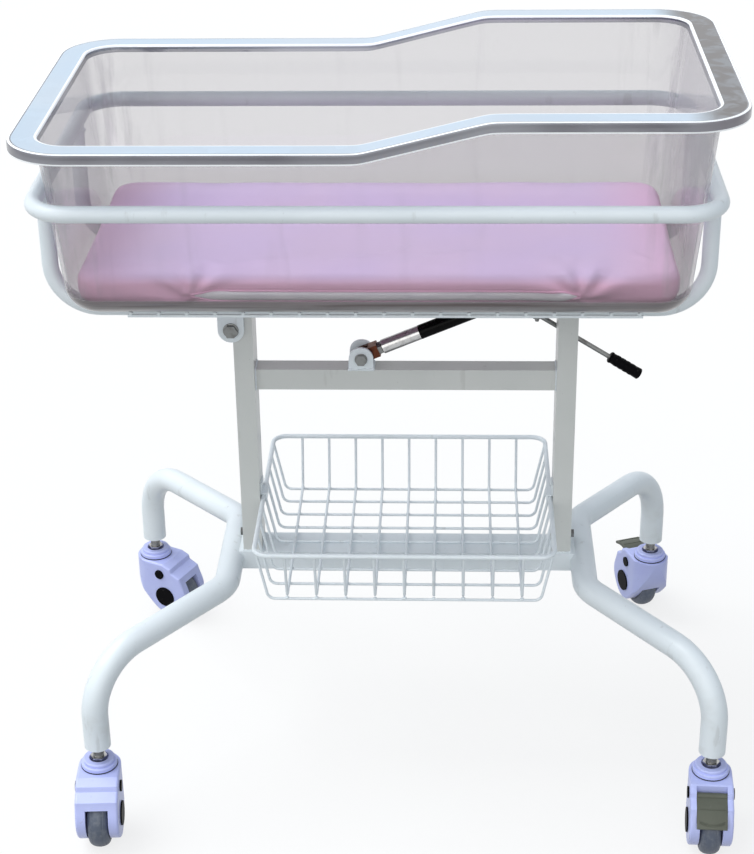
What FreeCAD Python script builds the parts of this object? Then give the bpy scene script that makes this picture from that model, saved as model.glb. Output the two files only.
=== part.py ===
import FreeCAD, Part
import math
import os
import re
import Sketcher
from FreeCAD import Placement, Rotation, Vector

# Hospital bassinet: a clear tub with a mattress in a tilting tube cradle, on a two-post frame
# with a wire basket and four swivel casters.  Millimetres.  +Z is up, +X is the head end, where
# the rim is high, and -Y is the front.  The origin lies on the floor at the middle of the
# footprint box.

os.makedirs("parts", exist_ok=True)
doc = FreeCAD.newDocument("bassinet")
sheet = doc.addObject("Spreadsheet::Sheet", "Sizes")

SIZES = {
    # frame
    "frame_shift": 13.4,          # the posts' middle plane from the origin
    "frame_back": -7.0,           # the centre line from the origin
    "beam_top": 260.0,
    "beam_height": 25.0,
    "beam_depth": 50.0,
    "post_offset": 197.2,         # a post's axis from the middle plane
    "post_width": 24.0,
    "post_depth": 45.0,
    "post_above_hinge": 26.5,
    "square_wall": 1.5,
    "crossbar_top": 513.0,
    "crossbar_size": 27.0,
    "cap_thickness": 2.0,
    "rest_pad_thickness": 4.0,
    "spigot_height": 60.0,
    "slip_gap": 0.3,
    "screw_height": 276.0,
    "screw_flats": 10.0,
    # legs
    "leg_diameter": 32.0,
    "leg_wall": 1.5,
    "caster_spread": 371.0,       # a caster's axis from the middle plane
    "caster_reach": 252.5,        # a caster's axis from the centre line
    "right_rear_toe": 28.0,       # how far the right rear foot stands inboard
    "leg_run_half": 87.0,
    "leg_shoulder_height": 234.0,
    "leg_foot_bend": 75.0,
    "leg_run_bend": 45.0,
    "insert_length": 24.0,
    # tilt hinge
    "hinge_outset": 13.4,         # hinge axis outboard of the left post's axis
    "hinge_height": 571.5,
    "rail_above_hinge": 66.0,
    "hinge_bolt": 10.0,
    "hinge_bush": 18.0,
    "running_gap": 0.05,
    "ear_width": 32.0,
    "ear_thickness": 4.0,
    # cradle
    "ring_diameter": 19.0,
    "ring_wall": 1.5,
    "ring_drop": 73.5,            # rim to ring
    "ring_side_gap": 7.4,         # tub wall to ring, front and rear
    "ring_end_gap": 3.0,          # tub wall to ring, head and foot
    "ring_bend": 45.0,
    "rail_offset": 108.0,
    "rail_bend": 55.0,
    "crossmember_width": 25.0,
    "deck_wire": 4.0,
    "deck_pitch": 32.0,
    "deck_side_gap": 28.0,        # deck edge to the tub's sides
    "deck_wire_count": 19.0,
    "deck_middle": 20.0,          # deck centre from the middle plane, towards the foot end
    # tub
    "tub_wall": 4.0,
    "tub_draft": 5.0,
    "tub_corner": 42.0,
    "tub_foot_round": 35.0,
    "rim_left": 427.7,            # rim end from the middle plane, foot end
    "rim_right": 374.5,
    "rim_width": 451.0,
    "tub_depth": 210.7,           # under the low rim
    "rim_rise": 35.0,
    "rim_flange": 29.0,
    "rim_lip": 12.6,
    "rim_corner": 70.0,
    "ramp_start": 44.0,           # where the rim starts to rise, towards the foot end
    "ramp_end": 96.0,             # where it is at full height, towards the head end
    # mattress
    "mattress_end_gap": 2.0,
    "mattress_side_gap": 10.0,
    "mattress_thickness": 44.0,
    "mattress_round": 12.0,
    "mattress_corner": 40.0,
    # gas spring
    "bracket_offset": 54.2,       # lower pivot from the middle plane, towards the foot end
    "bracket_rise": 14.2,
    "bracket_length": 30.0,
    "bracket_plate": 3.0,
    "pivot_bolt": 8.0,
    "pivot_flats": 13.0,
    "head_offset": 148.0,         # upper pivot from the middle plane, towards the head end
    "head_drop": 14.6,
    "head_play": 1.3,
    "fork_width": 16.0,
    "fork_slot": 5.0,
    "fork_length": 23.0,
    "locknut_length": 5.0,
    "spring_diameter": 18.0,
    "spring_wall": 1.5,
    "sleeve_length": 50.5,
    "cylinder_length": 100.0,
    "rod_diameter": 8.0,
    "rod_inside": 60.0,
    # release lever
    "lever_gap": 4.5,             # rod to the back of the right post
    "lever_plate": 3.0,
    "lever_pivot_drop": 28.0,
    "lever_drop": 31.0,
    "lever_step": 13.5,
    "lever_eye": 7.0,
    "lever_rod": 6.0,
    "lever_rod_length": 108.0,
    "lever_slope": 32.2,
    "grip_diameter": 15.0,
    "grip_length": 45.0,
    "grip_socket": 38.0,
    "stub_diameter": 5.0,
    "stub_length": 9.0,
    # basket
    "rim_wire": 6.0,
    "basket_wire": 3.5,
    "basket_depth": 316.0,
    "basket_height": 73.0,
    "basket_end_flare": 15.0,
    "basket_side_flare": 18.0,
    "basket_bend": 10.0,
    "basket_rim_bend": 18.0,
    "lengthwise_pitch": 35.0,
    "crosswise_pitch": 36.0,
    "basket_wire_count": 9.0,     # wires each way
    "hook_width": 22.0,
    "hook_plate": 2.0,
    "hook_height": 16.0,
    # casters
    "wheel_diameter": 75.0,
    "wheel_width": 25.0,
    "wheel_clearance": 2.5,
    "hub_diameter": 52.0,
    "tyre_round": 4.0,
    "axle_diameter": 8.0,
    "caster_trail": 29.5,
    "housing_width": 52.0,
    "housing_rise": 18.0,         # housing top above the wheel
    "housing_edge": 3.0,
    "stem_diameter": 12.0,
    "stem_depth": 20.0,
    "stem_nut": 18.0,
    "stem_nut_height": 10.0,
    "nut_recess": 7.0,            # how deep the nut sits in the collar
    "stem_show": 14.5,            # bare stem between nut and leg
    "collar_diameter": 44.0,
    "collar_height": 10.7,
    "cap_height": 2.0,
    "hub_cap": 30.0,
    "pin_cap": 14.0,
    "left_front_heading": -87.0,  # which way each caster trails, degrees from +X
    "right_front_heading": -93.0,
    "left_rear_heading": -26.5,
    "right_rear_heading": 110.0,
    "pedal_width": 36.0,
    "pedal_plate": 3.5,
    "pedal_pin": 4.0,
    "pedal_raise": 32.0,          # how far the rear pedal stands raised, degrees
    "pedal_forward": 36.0,        # the pedal's pin from the stem's axis
    "pedal_height": 82.0,
    "pin_grip": 3.5,              # how deep the pedal's pin sits in each side
}

# sizes that follow from others, because the real pieces keep together
DERIVED = {
    "left_post_top": "=hinge_height + post_above_hinge",
    "rail_height": "=hinge_height + rail_above_hinge",
    "rim_low": "=rail_height + ring_diameter / 2 + deck_wire + slip_gap + tub_depth",
    "rim_high": "=rim_low + rim_rise",
    "ring_height": "=rim_low - ring_drop",
    "deck_overhang": "=rim_width / 2 - rim_flange - tan(tub_draft) * tub_depth - deck_side_gap"
                     " - rail_offset",
}

for row, (alias, size) in enumerate([*SIZES.items(), *DERIVED.items()], start=1):
    sheet.set("A%d" % row, alias)
    sheet.setAlias("B%d" % row, alias)
    sheet.set("B%d" % row, str(size))
doc.recompute()
sheet_names = {*SIZES, *DERIVED}


def num(expression):
    """The value in millimetres or degrees of an expression on the sheet's names."""
    return float(sheet.evalExpression(named(expression)))


def named(expression):
    """An expression with every size name turned into a reference to the sheet."""
    return re.sub("[a-z_]+", lambda m: ("Sizes." if m.group() in sheet_names else "") + m.group(),
                  expression.replace(" ", ""))


def bind(item, **sizes):
    for prop, expression in sizes.items():
        item.setExpression(prop, named(expression))


def place(item, x="0", y="0", z="0", turn=None):
    """Put an item at a point of the frame, turned by a fixed rotation."""
    y = "frame_back + ( %s )" % y
    item.Placement = Placement(Vector(num(x), num(y), num(z)), turn or Rotation())
    item.setExpression(".Placement.Base.x", named(x))
    item.setExpression(".Placement.Base.y", named(y))
    item.setExpression(".Placement.Base.z", named(z))
    return item


ALONG_X = Rotation(Vector(0, 1, 0), 90)
ALONG_Y = Rotation(Vector(1, 0, 0), -90)

# places that several pieces share
LEFT_POST_X = "( frame_shift - post_offset )"
RIGHT_POST_X = "( frame_shift + post_offset )"
HINGE_X = "( frame_shift - post_offset - hinge_outset )"
POST_INNER = "( post_offset - post_width / 2 )"
POST_OUTER = "( post_offset + post_width / 2 )"
RAIL_TOP = "( rail_height + ring_diameter / 2 )"
RAIL_BOTTOM = "( rail_height - ring_diameter / 2 )"
RIGHT_POST_TOP = "( %s - slip_gap - rest_pad_thickness )" % RAIL_BOTTOM
TUB_BOTTOM = "( %s + deck_wire + slip_gap )" % RAIL_TOP
TUB_FLOOR = "( %s + tub_wall )" % TUB_BOTTOM
TUB_TAPER = "( tan ( tub_draft ) * ( rim_low - ring_height ) )"
RING_HALF = ("( rim_width / 2 - rim_flange - %s + ring_side_gap + ring_diameter / 2 )"
             % TUB_TAPER)
RING_LEFT = "( rim_left - rim_flange - %s + ring_end_gap + ring_diameter / 2 )" % TUB_TAPER
RING_RIGHT = ("( rim_right - rim_flange - tan ( tub_draft ) * ( rim_high - ring_height )"
              " + ring_end_gap + ring_diameter / 2 )")
PIVOT_X = "( frame_shift - bracket_offset )"
PIVOT_Z = "( crossbar_top + bracket_rise )"
HEAD_X = "( frame_shift + head_offset )"
HEAD_Z = "( %s - head_drop )" % RAIL_BOTTOM
LEVER_Y = "( post_depth / 2 + lever_gap + lever_rod / 2 )"
LEVER_Z = "( %s - lever_pivot_drop )" % RAIL_BOTTOM
BASKET_HALF = "( post_offset - post_width / 2 - slip_gap - rim_wire / 2 )"
BASKET_RIM_Z = "( beam_top + basket_height )"
HOUSING_TOP = "( wheel_diameter + housing_rise )"
NUT_Z = "( %s + slip_gap + collar_height - nut_recess )" % HOUSING_TOP
FOOT_Z = "( %s + stem_nut_height + stem_show )" % NUT_Z
CASTERS = {"fl": ("( frame_shift - caster_spread )", "( 0 - caster_reach )", "left_front_heading"),
           "fr": ("( frame_shift + caster_spread )", "( 0 - caster_reach )",
                  "right_front_heading"),
           "rl": ("( frame_shift - caster_spread )", "caster_reach", "left_rear_heading"),
           "rr": ("( frame_shift + caster_spread - right_rear_toe )", "caster_reach",
                  "right_rear_heading")}


# ---------------------------------------------------------------- building blocks

def new_body(label):
    body = doc.addObject("PartDesign::Body", label)
    body.Label = label
    return body


def plane_of(body, role):
    return next(f for f in body.Origin.OriginFeatures if f.Role == role)


def new_sketch(body, role, name, height=None):
    """A sketch on one of the body's own origin planes, lifted by an expression."""
    sketch = body.newObject("Sketcher::SketchObject", body.Name + "_" + name)
    sketch.AttachmentSupport = [(plane_of(body, role), "")]
    sketch.MapMode = "FlatFace"
    if height is not None:
        sketch.setExpression(".AttachmentOffset.Base.z", named(height))
    return sketch


def add_rectangle(sketch, width, depth, middle_x="0", middle_y="0"):
    """A rectangle about a middle point, its sides and place bound to the sheet."""
    wide, deep = num(width) / 2, num(depth) / 2
    mx, my = num(middle_x), num(middle_y)
    corners = [(-wide, -deep), (wide, -deep), (wide, deep), (-wide, deep)]
    points = [Vector(mx + x, my + y, 0) for x, y in corners]
    first = sketch.GeometryCount
    for i in range(4):
        sketch.addGeometry(Part.LineSegment(points[i], points[(i + 1) % 4]), False)
    for i in range(4):
        sketch.addConstraint(Sketcher.Constraint("Coincident", first + i, 2, first + (i + 1) % 4, 1))
    for i in range(4):
        way = "Vertical" if i % 2 else "Horizontal"
        sketch.addConstraint(Sketcher.Constraint(way, first + i))
    measures = (("DistanceX", first, 1, first, 2, 2 * wide, width),
                ("DistanceY", first + 1, 1, first + 1, 2, 2 * deep, depth),
                ("DistanceX", first, 1, -1, 1, wide - mx, "( %s ) / 2 - ( %s )" % (width, middle_x)),
                ("DistanceY", first, 1, -1, 1, deep - my, "( %s ) / 2 - ( %s )" % (depth, middle_y)))
    for kind, g1, p1, g2, p2, size, expression in measures:
        constraint = Sketcher.Constraint(kind, g1, p1, g2, p2, size)
        index = sketch.addConstraint(constraint)
        sketch.setExpression("Constraints[%d]" % index, named(expression))


def add_circle(sketch, radius, middle_x="0", middle_y="0"):
    centre = Vector(num(middle_x), num(middle_y), 0)
    ring = sketch.addGeometry(Part.Circle(centre, Vector(0, 0, 1), num(radius)), False)
    index = sketch.addConstraint(Sketcher.Constraint("Radius", ring, num(radius)))
    sketch.setExpression("Constraints[%d]" % index, named(radius))
    sketch.addConstraint(Sketcher.Constraint("DistanceX", -1, 1, ring, 3, centre.x))
    sketch.setExpression("Constraints[%d]" % (sketch.ConstraintCount - 1), named(middle_x))
    sketch.addConstraint(Sketcher.Constraint("DistanceY", -1, 1, ring, 3, centre.y))
    sketch.setExpression("Constraints[%d]" % (sketch.ConstraintCount - 1), named(middle_y))


def add_outline(sketch, steps):
    """A closed outline: each step is an end point, or a through point and an end point of an arc."""
    points = [Vector(step[-2], step[-1], 0) for step in steps]
    for i, step in enumerate(steps):
        start = points[i - 1]
        if len(step) == 4:
            sketch.addGeometry(Part.Arc(start, Vector(step[0], step[1], 0), points[i]), False)
        else:
            sketch.addGeometry(Part.LineSegment(start, points[i]), False)


def pad(body, sketch, length, name="pad", midplane=False):
    feature = body.newObject("PartDesign::Pad", body.Name + "_" + name)
    feature.Profile = sketch
    feature.SideType = "Symmetric" if midplane else "One side"
    bind(feature, Length=length)
    return feature


def pocket(body, sketch, length, name="pocket"):
    """A cut that runs the same way on both sides of its sketch."""
    feature = body.newObject("PartDesign::Pocket", body.Name + "_" + name)
    feature.Profile = sketch
    feature.SideType = "Symmetric"
    bind(feature, Length=length)
    return feature


def round_edges(body, base, radius, wanted, name="fillet"):
    """Fillet the edges of a feature that a test picks out."""
    doc.recompute()
    edges = ["Edge%d" % (i + 1) for i, e in enumerate(base.Shape.Edges) if wanted(e)]
    feature = body.newObject("PartDesign::Fillet", body.Name + "_" + name)
    feature.Base = (base, edges)
    bind(feature, Radius=radius)
    return feature


def square_tube(label, width, depth, length, wall="square_wall"):
    """A rectangular tube that stands on its sketch and runs along its own Z."""
    body = new_body(label)
    section = new_sketch(body, "XY_Plane", "section")
    add_rectangle(section, width, depth)
    add_rectangle(section, "%s - 2 * %s" % (width, wall), "%s - 2 * %s" % (depth, wall))
    pad(body, section, length)
    return body


def block(label, length, depth, height, x, y, z):
    """A box about x and y that stands on z."""
    item = doc.addObject("Part::Box", label)
    bind(item, Length=length, Width=depth, Height=height)
    return place(item, "%s - ( %s ) / 2" % (x, length), "%s - ( %s ) / 2" % (y, depth), z)


def cylinder(label, radius, height, x, y, z, turn=None):
    item = doc.addObject("Part::Cylinder", label)
    bind(item, Radius=radius, Height=height)
    return place(item, x, y, z, turn)


def hexagon(label, across_flats, height, x, y, z, turn=None):
    item = doc.addObject("Part::Prism", label)
    item.Polygon = 6
    bind(item, Circumradius="( %s ) / 2 / cos ( 30 )" % across_flats, Height=height)
    return place(item, x, y, z, turn)


def joined(label, pieces):
    """One solid from pieces that overlap or share faces."""
    item = doc.addObject("Part::MultiFuse", label)
    item.Label = label
    item.Shapes = pieces
    item.Refine = True
    return item


def grouped(label, pieces):
    """Several separate solids that share one name."""
    item = doc.addObject("Part::Compound", label)
    item.Label = label
    item.Links = pieces
    return item


def cut(label, base, tool):
    item = doc.addObject("Part::Cut", label)
    item.Label = label
    item.Base = base
    item.Tool = tool
    return item


def bent_path(points, bend_radii, closed=False):
    """Straight runs joined by tangent arcs, one arc at each inner point."""
    count = len(points)
    corners = range(count) if closed else range(1, count - 1)
    arcs = {}
    for i in corners:
        corner = points[i]
        back = (points[i - 1] - corner).normalize()
        ahead = (points[(i + 1) % count] - corner).normalize()
        half = back.getAngle(ahead) / 2
        radius = bend_radii[i % len(bend_radii)]
        reach = radius / math.tan(half)
        middle = (back + ahead).normalize()
        bulge = corner + middle * (radius / math.sin(half) - radius)
        arcs[i] = (corner + back * reach, bulge, corner + ahead * reach)
    edges = []
    here = arcs[0][2] if closed else points[0]
    order = list(range(1, count)) + ([0] if closed else [])
    for i in order:
        if i in arcs:
            start, bulge, end = arcs[i]
            edges.append(Part.LineSegment(here, start).toShape())
            edges.append(Part.Arc(start, bulge, end).toShape())
            here = end
        else:
            edges.append(Part.LineSegment(here, points[i]).toShape())
    return Part.Wire(edges)


def bent_bar(points, radius, bend_radii, closed=False):
    """A round solid bar along straight runs and arcs."""
    path = bent_path(points, bend_radii, closed)
    start = path.Edges[0]
    where = start.valueAt(start.FirstParameter)
    section = Part.Wire(Part.makeCircle(radius, where, start.tangentAt(start.FirstParameter)))
    sweep = Part.BRepOffsetAPI.MakePipeShell(path)
    sweep.add(section)
    sweep.setTransitionMode(1)
    sweep.build()
    sweep.makeSolid()
    return sweep.shape()


def bent_tube(points, diameter, wall, bend_radii, closed=False):
    outer = bent_bar(points, diameter / 2, bend_radii, closed)
    return outer.cut(bent_bar(points, diameter / 2 - wall, bend_radii, closed))


def new_feature(label, shape):
    item = doc.addObject("Part::Feature", label)
    item.Label = label
    item.Shape = shape
    return item


# ---------------------------------------------------------------- frame

def coped_tube(label, width, depth, length, plane, radius):
    """A rectangular tube with both ends cut to sit against round tubes at its ends."""
    tube = square_tube(label, width, depth, length)
    cope = new_sketch(tube, plane, "cope")
    add_circle(cope, radius)
    add_circle(cope, radius, "0", length)
    pocket(tube, cope, "2 * ( %s + %s )" % (width, depth), "cope_cut")
    return tube


def make_beam():
    length = "( 2 * %s + leg_diameter )" % POST_OUTER
    beam = coped_tube("base_beam", "beam_height", "beam_depth", length, "XZ_Plane",
                      "leg_diameter / 2")
    place(beam, "frame_shift - %s / 2" % length, "0", "beam_top - beam_height / 2", ALONG_X)


def make_posts():
    """Two posts on spigots; the left one is notched for the hinge bush."""
    left = square_tube("left_post", "post_width", "post_depth", "left_post_top - beam_top")
    notch = new_sketch(left, "XZ_Plane", "notch")
    add_circle(notch, "hinge_bush / 2", "0 - hinge_outset", "hinge_height - beam_top")
    pocket(left, notch, "post_depth + 2", "notch_cut")
    place(left, LEFT_POST_X, "0", "beam_top")
    right = square_tube("right_post", "post_width", "post_depth",
                        "%s - beam_top - cap_thickness" % RIGHT_POST_TOP)
    place(right, RIGHT_POST_X, "0", "beam_top")
    grouped("post_caps",
            [block("left_cap", "post_width", "post_depth", "cap_thickness", LEFT_POST_X, "0",
                   "left_post_top"),
             block("right_cap", "post_width", "post_depth", "cap_thickness", RIGHT_POST_X, "0",
                   "%s - cap_thickness" % RIGHT_POST_TOP)])
    inner = "( post_width - 2 * square_wall )"
    deep = "( post_depth - 2 * square_wall )"
    grouped("post_spigots",
            [block("left_spigot", inner, deep, "spigot_height", LEFT_POST_X, "0", "beam_top"),
             block("right_spigot", inner, deep, "spigot_height", RIGHT_POST_X, "0", "beam_top")])
    block("rest_pad", "post_width", "post_depth", "rest_pad_thickness", RIGHT_POST_X, "0",
          RIGHT_POST_TOP)
    grouped("post_screws",
            [hexagon("left_screw", "screw_flats", "screw_flats / 2",
                     "frame_shift - %s" % POST_OUTER, "0", "screw_height",
                     Rotation(Vector(0, 1, 0), -90)),
             hexagon("right_screw", "screw_flats", "screw_flats / 2",
                     "frame_shift + %s" % POST_OUTER, "0", "screw_height", ALONG_X)])


def make_crossbar():
    bar = square_tube("crossbar", "crossbar_size", "crossbar_size", "2 * %s" % POST_INNER)
    place(bar, "frame_shift - %s" % POST_INNER, "0", "crossbar_top - crossbar_size / 2", ALONG_X)


def make_legs():
    """One bent tube each side: a run past the beam's end, two shoulders and two feet."""
    run_x = num("%s + leg_diameter / 2" % POST_OUTER)
    run_z = num("beam_top - beam_height / 2")
    spread, reach = num("caster_spread"), num("caster_reach")
    shoulder, foot, half = num("leg_shoulder_height"), num(FOOT_Z), num("leg_run_half")
    foot_bend, run_bend = num("leg_foot_bend"), num("leg_run_bend")
    bends = [0, foot_bend, run_bend, run_bend, foot_bend]
    for side, way, toe in (("left", -1, 0), ("right", 1, num("right_rear_toe"))):
        points = [Vector(way * spread, -reach, foot), Vector(way * spread, -reach, shoulder),
                  Vector(way * run_x, -half, run_z), Vector(way * run_x, half, run_z),
                  Vector(way * (spread - toe), reach, shoulder),
                  Vector(way * (spread - toe), reach, foot)]
        leg = new_feature(side + "_leg",
                          bent_tube(points, num("leg_diameter"), num("leg_wall"), bends))
        place(leg, "frame_shift")


def make_hinge():
    """The bush in the left post, the ears that hang from the cradle and the bolt through them."""
    cut("hinge_bush", cylinder("bush_blank", "hinge_bush / 2", "post_depth", HINGE_X,
                               "0 - post_depth / 2", "hinge_height", ALONG_Y),
        cylinder("bush_bore", "hinge_bolt / 2 + running_gap", "post_depth", HINGE_X,
                 "0 - post_depth / 2", "hinge_height", ALONG_Y))
    inner = "( post_depth / 2 + slip_gap )"
    ears = []
    for name, y in (("front_ear", "0 - %s - ear_thickness" % inner), ("rear_ear", inner)):
        ear = new_body(name)
        outline = new_sketch(ear, "XZ_Plane", "outline")
        half, rise = num("ear_width / 2"), num("%s - hinge_height" % RAIL_BOTTOM)
        add_outline(outline, [(half, rise), (-half, rise), (-half, 0), (0, -half, half, 0)])
        add_circle(outline, "hinge_bolt / 2")
        pad(ear, outline, "ear_thickness").Reversed = True
        ears.append(place(ear, HINGE_X, y, "hinge_height"))
    grouped("hinge_ears", ears)
    outside = "( post_depth / 2 + slip_gap + ear_thickness )"
    joined("hinge_bolt",
           [cylinder("hinge_shank", "hinge_bolt / 2", "2 * %s + hinge_bolt" % outside, HINGE_X,
                     "0 - %s" % outside, "hinge_height", ALONG_Y),
            hexagon("hinge_head", "1.5 * hinge_bolt", "0.64 * hinge_bolt", HINGE_X,
                    "0 - %s - 0.64 * hinge_bolt" % outside, "hinge_height", ALONG_Y),
            hexagon("hinge_nut", "1.5 * hinge_bolt", "0.8 * hinge_bolt", HINGE_X, outside,
                    "hinge_height", ALONG_Y)])


# ---------------------------------------------------------------- cradle

def make_ring():
    left, right, half = -num(RING_LEFT), num(RING_RIGHT), num(RING_HALF)
    corners = [Vector(left, -half, 0), Vector(right, -half, 0), Vector(right, half, 0),
               Vector(left, half, 0)]
    shape = bent_tube(corners, num("ring_diameter"), num("ring_wall"), [num("ring_bend")], True)
    place(new_feature("cradle_ring", shape), "frame_shift", "0", "ring_height")


def make_rails():
    """Two U-shaped rails that hang from the head and foot runs of the ring."""
    top = num("ring_height - rail_height")
    left, right, bend = -num(RING_LEFT), num(RING_RIGHT), num("rail_bend")
    corner = bend * (1 - math.sqrt(0.5))
    for name, y in (("front_rail", "0 - rail_offset"), ("rear_rail", "rail_offset")):
        rail = new_body(name + "_tube")
        path = new_sketch(rail, "XZ_Plane", "path")
        runs = [Part.LineSegment(Vector(left, top, 0), Vector(left, bend, 0)),
                Part.Arc(Vector(left, bend, 0), Vector(left + corner, corner, 0),
                         Vector(left + bend, 0, 0)),
                Part.LineSegment(Vector(left + bend, 0, 0), Vector(right - bend, 0, 0)),
                Part.Arc(Vector(right - bend, 0, 0), Vector(right - corner, corner, 0),
                         Vector(right, bend, 0)),
                Part.LineSegment(Vector(right, bend, 0), Vector(right, top, 0))]
        for run in runs:
            path.addGeometry(run, False)
        for i in range(len(runs) - 1):
            path.addConstraint(Sketcher.Constraint("Coincident", i, 2, i + 1, 1))
        for part, kind, radius in (("outside", "PartDesign::AdditivePipe", "ring_diameter / 2"),
                                   ("bore", "PartDesign::SubtractivePipe",
                                    "ring_diameter / 2 - ring_wall")):
            section = new_sketch(rail, "XY_Plane", part, "ring_height - rail_height")
            add_circle(section, radius, "0 - " + RING_LEFT)
            doc.recompute()
            pipe = rail.newObject(kind, name + "_" + part + "_pipe")
            pipe.Profile = section
            pipe.Spine = path
            doc.recompute()
        place(rail, "frame_shift", y, "rail_height")
        cope = cylinder(name + "_cope", "ring_diameter / 2", "2 * ( rail_offset + ring_diameter )",
                        "frame_shift - " + RING_LEFT, "0 - rail_offset - ring_diameter",
                        "ring_height", ALONG_Y)
        other = cylinder(name + "_cope_right", "ring_diameter / 2",
                         "2 * ( rail_offset + ring_diameter )", "frame_shift + " + RING_RIGHT,
                         "0 - rail_offset - ring_diameter", "ring_height", ALONG_Y)
        cut(name, rail, grouped(name + "_copes", [cope, other]))


def make_crossmembers():
    """Flat tubes between the rails: at the hinge, over the right post and above the spring."""
    length = "( 2 * rail_offset )"
    for label, x in (("hinge_crossmember", HINGE_X), ("rest_crossmember", RIGHT_POST_X),
                     ("spring_crossmember", HEAD_X)):
        bar = coped_tube(label, "crossmember_width", "ring_diameter", length, "YZ_Plane",
                         "ring_diameter / 2")
        place(bar, x, "rail_offset", "rail_height", Rotation(Vector(1, 0, 0), 90))


def make_deck():
    """A grid of wires on the rails, which carries the tub."""
    radius, half = num("deck_wire / 2"), num("rail_offset + deck_overhang")
    pitch, count = num("deck_pitch"), int(num("deck_wire_count"))
    middle, level = -num("deck_middle"), num("%s + deck_wire / 2" % RAIL_TOP)
    end = pitch * (count - 1) / 2 + 2 * radius
    wires = []
    for i in range(count):
        start = Vector(middle + pitch * (i - (count - 1) / 2), -half - 2 * radius, level)
        wires.append(Part.makeCylinder(radius, 2 * half + 4 * radius, start, Vector(0, 1, 0)))
    for y in (-half, half):
        start = Vector(middle - end, y, level - 2 * radius)
        wires.append(Part.makeCylinder(radius, 2 * end, start, Vector(1, 0, 0)))
    place(new_feature("deck_wires", Part.makeCompound(wires)), "frame_shift")


# ---------------------------------------------------------------- tub and mattress

def rounded_wire(left, right, half, corner, z):
    points = [Vector(left, -half, z), Vector(right, -half, z), Vector(right, half, z),
              Vector(left, half, z)]
    return bent_path(points, [corner], True)


def tub_form(inset, bottom, top):
    """The tub's tapered form between two heights, its foot rounded."""
    slope = math.tan(math.radians(num("tub_draft")))
    edge = num("rim_flange") + inset
    wires = []
    for z in (bottom, top):
        left = edge - num("rim_left") + slope * (num("rim_low") - z)
        right = num("rim_right") - edge - slope * (num("rim_high") - z)
        half = num("rim_width") / 2 - edge - slope * (num("rim_low") - z)
        wires.append(rounded_wire(left, right, half, num("tub_corner") - inset, z))
    form = Part.makeLoft(wires, True, True)
    foot = [e for e in form.Edges if abs(e.BoundBox.ZMax - bottom) < 1e-6]
    return form.makeFillet(num("tub_foot_round") - inset, foot)


def rim_band(thickness, above=0.0):
    """What lies from the rim's top line down to a depth, over the whole width."""
    left, right = -num("rim_left") - 10, num("rim_right") + 10
    low, high = num("rim_low"), num("rim_high")
    line = [(left, low), (-num("ramp_start"), low), (num("ramp_end"), high), (right, high)]
    upper = [Vector(x, 0, z + above) for x, z in line]
    lower = [Vector(x, 0, z - thickness) for x, z in reversed(line)]
    half = num("rim_width") / 2 + 10
    face = Part.Face(Part.makePolygon(upper + lower + upper[:1]))
    face.translate(Vector(0, -half, 0))
    return face.extrude(Vector(0, 2 * half, 0))


def rim_column(inset):
    """The rim's outline as a tall block."""
    low, high = num("rim_low - 60"), num("rim_high + 20")
    wire = rounded_wire(inset - num("rim_left"), num("rim_right") - inset,
                        num("rim_width") / 2 - inset, num("rim_corner") - inset, low)
    return Part.Face(wire).extrude(Vector(0, 0, high - low))


def make_tub():
    """A drafted shell with a flat brim that steps up towards the head and turns down all round."""
    wall = num("tub_wall")
    walls = tub_form(0.0, num(TUB_BOTTOM), num("rim_high")).cut(rim_band(0.0, 60.0))
    brim = rim_column(0.0).common(rim_band(wall))
    lip = rim_column(0.0).cut(rim_column(wall)).common(rim_band(num("rim_lip")))
    hollow = tub_form(wall, num(TUB_FLOOR), num("rim_high + 10"))
    shape = walls.fuse([brim, lip]).cut(hollow).removeSplitter()
    place(new_feature("tub_shell", shape.Solids[0]), "frame_shift")


def make_mattress():
    drop = "tan ( tub_draft )"
    length = ("( rim_left + rim_right - 2 * ( rim_flange + tub_wall + mattress_end_gap ) - %s"
              " * ( rim_low + rim_high - 2 * %s ) )" % (drop, TUB_FLOOR))
    depth = ("( rim_width - 2 * ( rim_flange + tub_wall + mattress_side_gap ) - 2 * %s"
             " * ( rim_low - %s ) )" % (drop, TUB_FLOOR))
    middle = "( rim_right - rim_left - %s * ( rim_high - rim_low ) ) / 2" % drop
    body = new_body("mattress")
    outline = new_sketch(body, "XY_Plane", "outline")
    add_rectangle(outline, length, depth)
    slab = pad(body, outline, "mattress_thickness")
    corners = round_edges(body, slab, "mattress_corner",
                          lambda e: abs(e.tangentAt(e.FirstParameter).z) > 0.9, "corners")
    low = round_edges(body, corners, "tub_foot_round - tub_wall - 5",
                      lambda e: e.BoundBox.ZMax < 0.01, "low_edges")
    top = num("mattress_thickness")
    round_edges(body, low, "mattress_round", lambda e: e.BoundBox.ZMin > top - 0.01, "top_edges")
    place(body, "frame_shift + " + middle, "0", "%s + slip_gap" % TUB_FLOOR)


# ---------------------------------------------------------------- gas spring

def spring_line():
    """The spring's slope in degrees and the distance between its pivots."""
    run, rise = num("%s - %s" % (HEAD_X, PIVOT_X)), num("%s - %s" % (HEAD_Z, PIVOT_Z))
    return math.degrees(math.atan2(rise, run)), math.hypot(run, rise)


def on_spring(item, start=0.0):
    """Put an item that runs along its own Z on the spring's axis."""
    slope, _ = spring_line()
    turn = Rotation(Vector(0, 1, 0), 90 - slope)
    pivot = Vector(num(PIVOT_X), num("frame_back"), num(PIVOT_Z))
    item.Placement = Placement(pivot + turn.multVec(Vector(0, 0, start)), turn)
    return item


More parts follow.
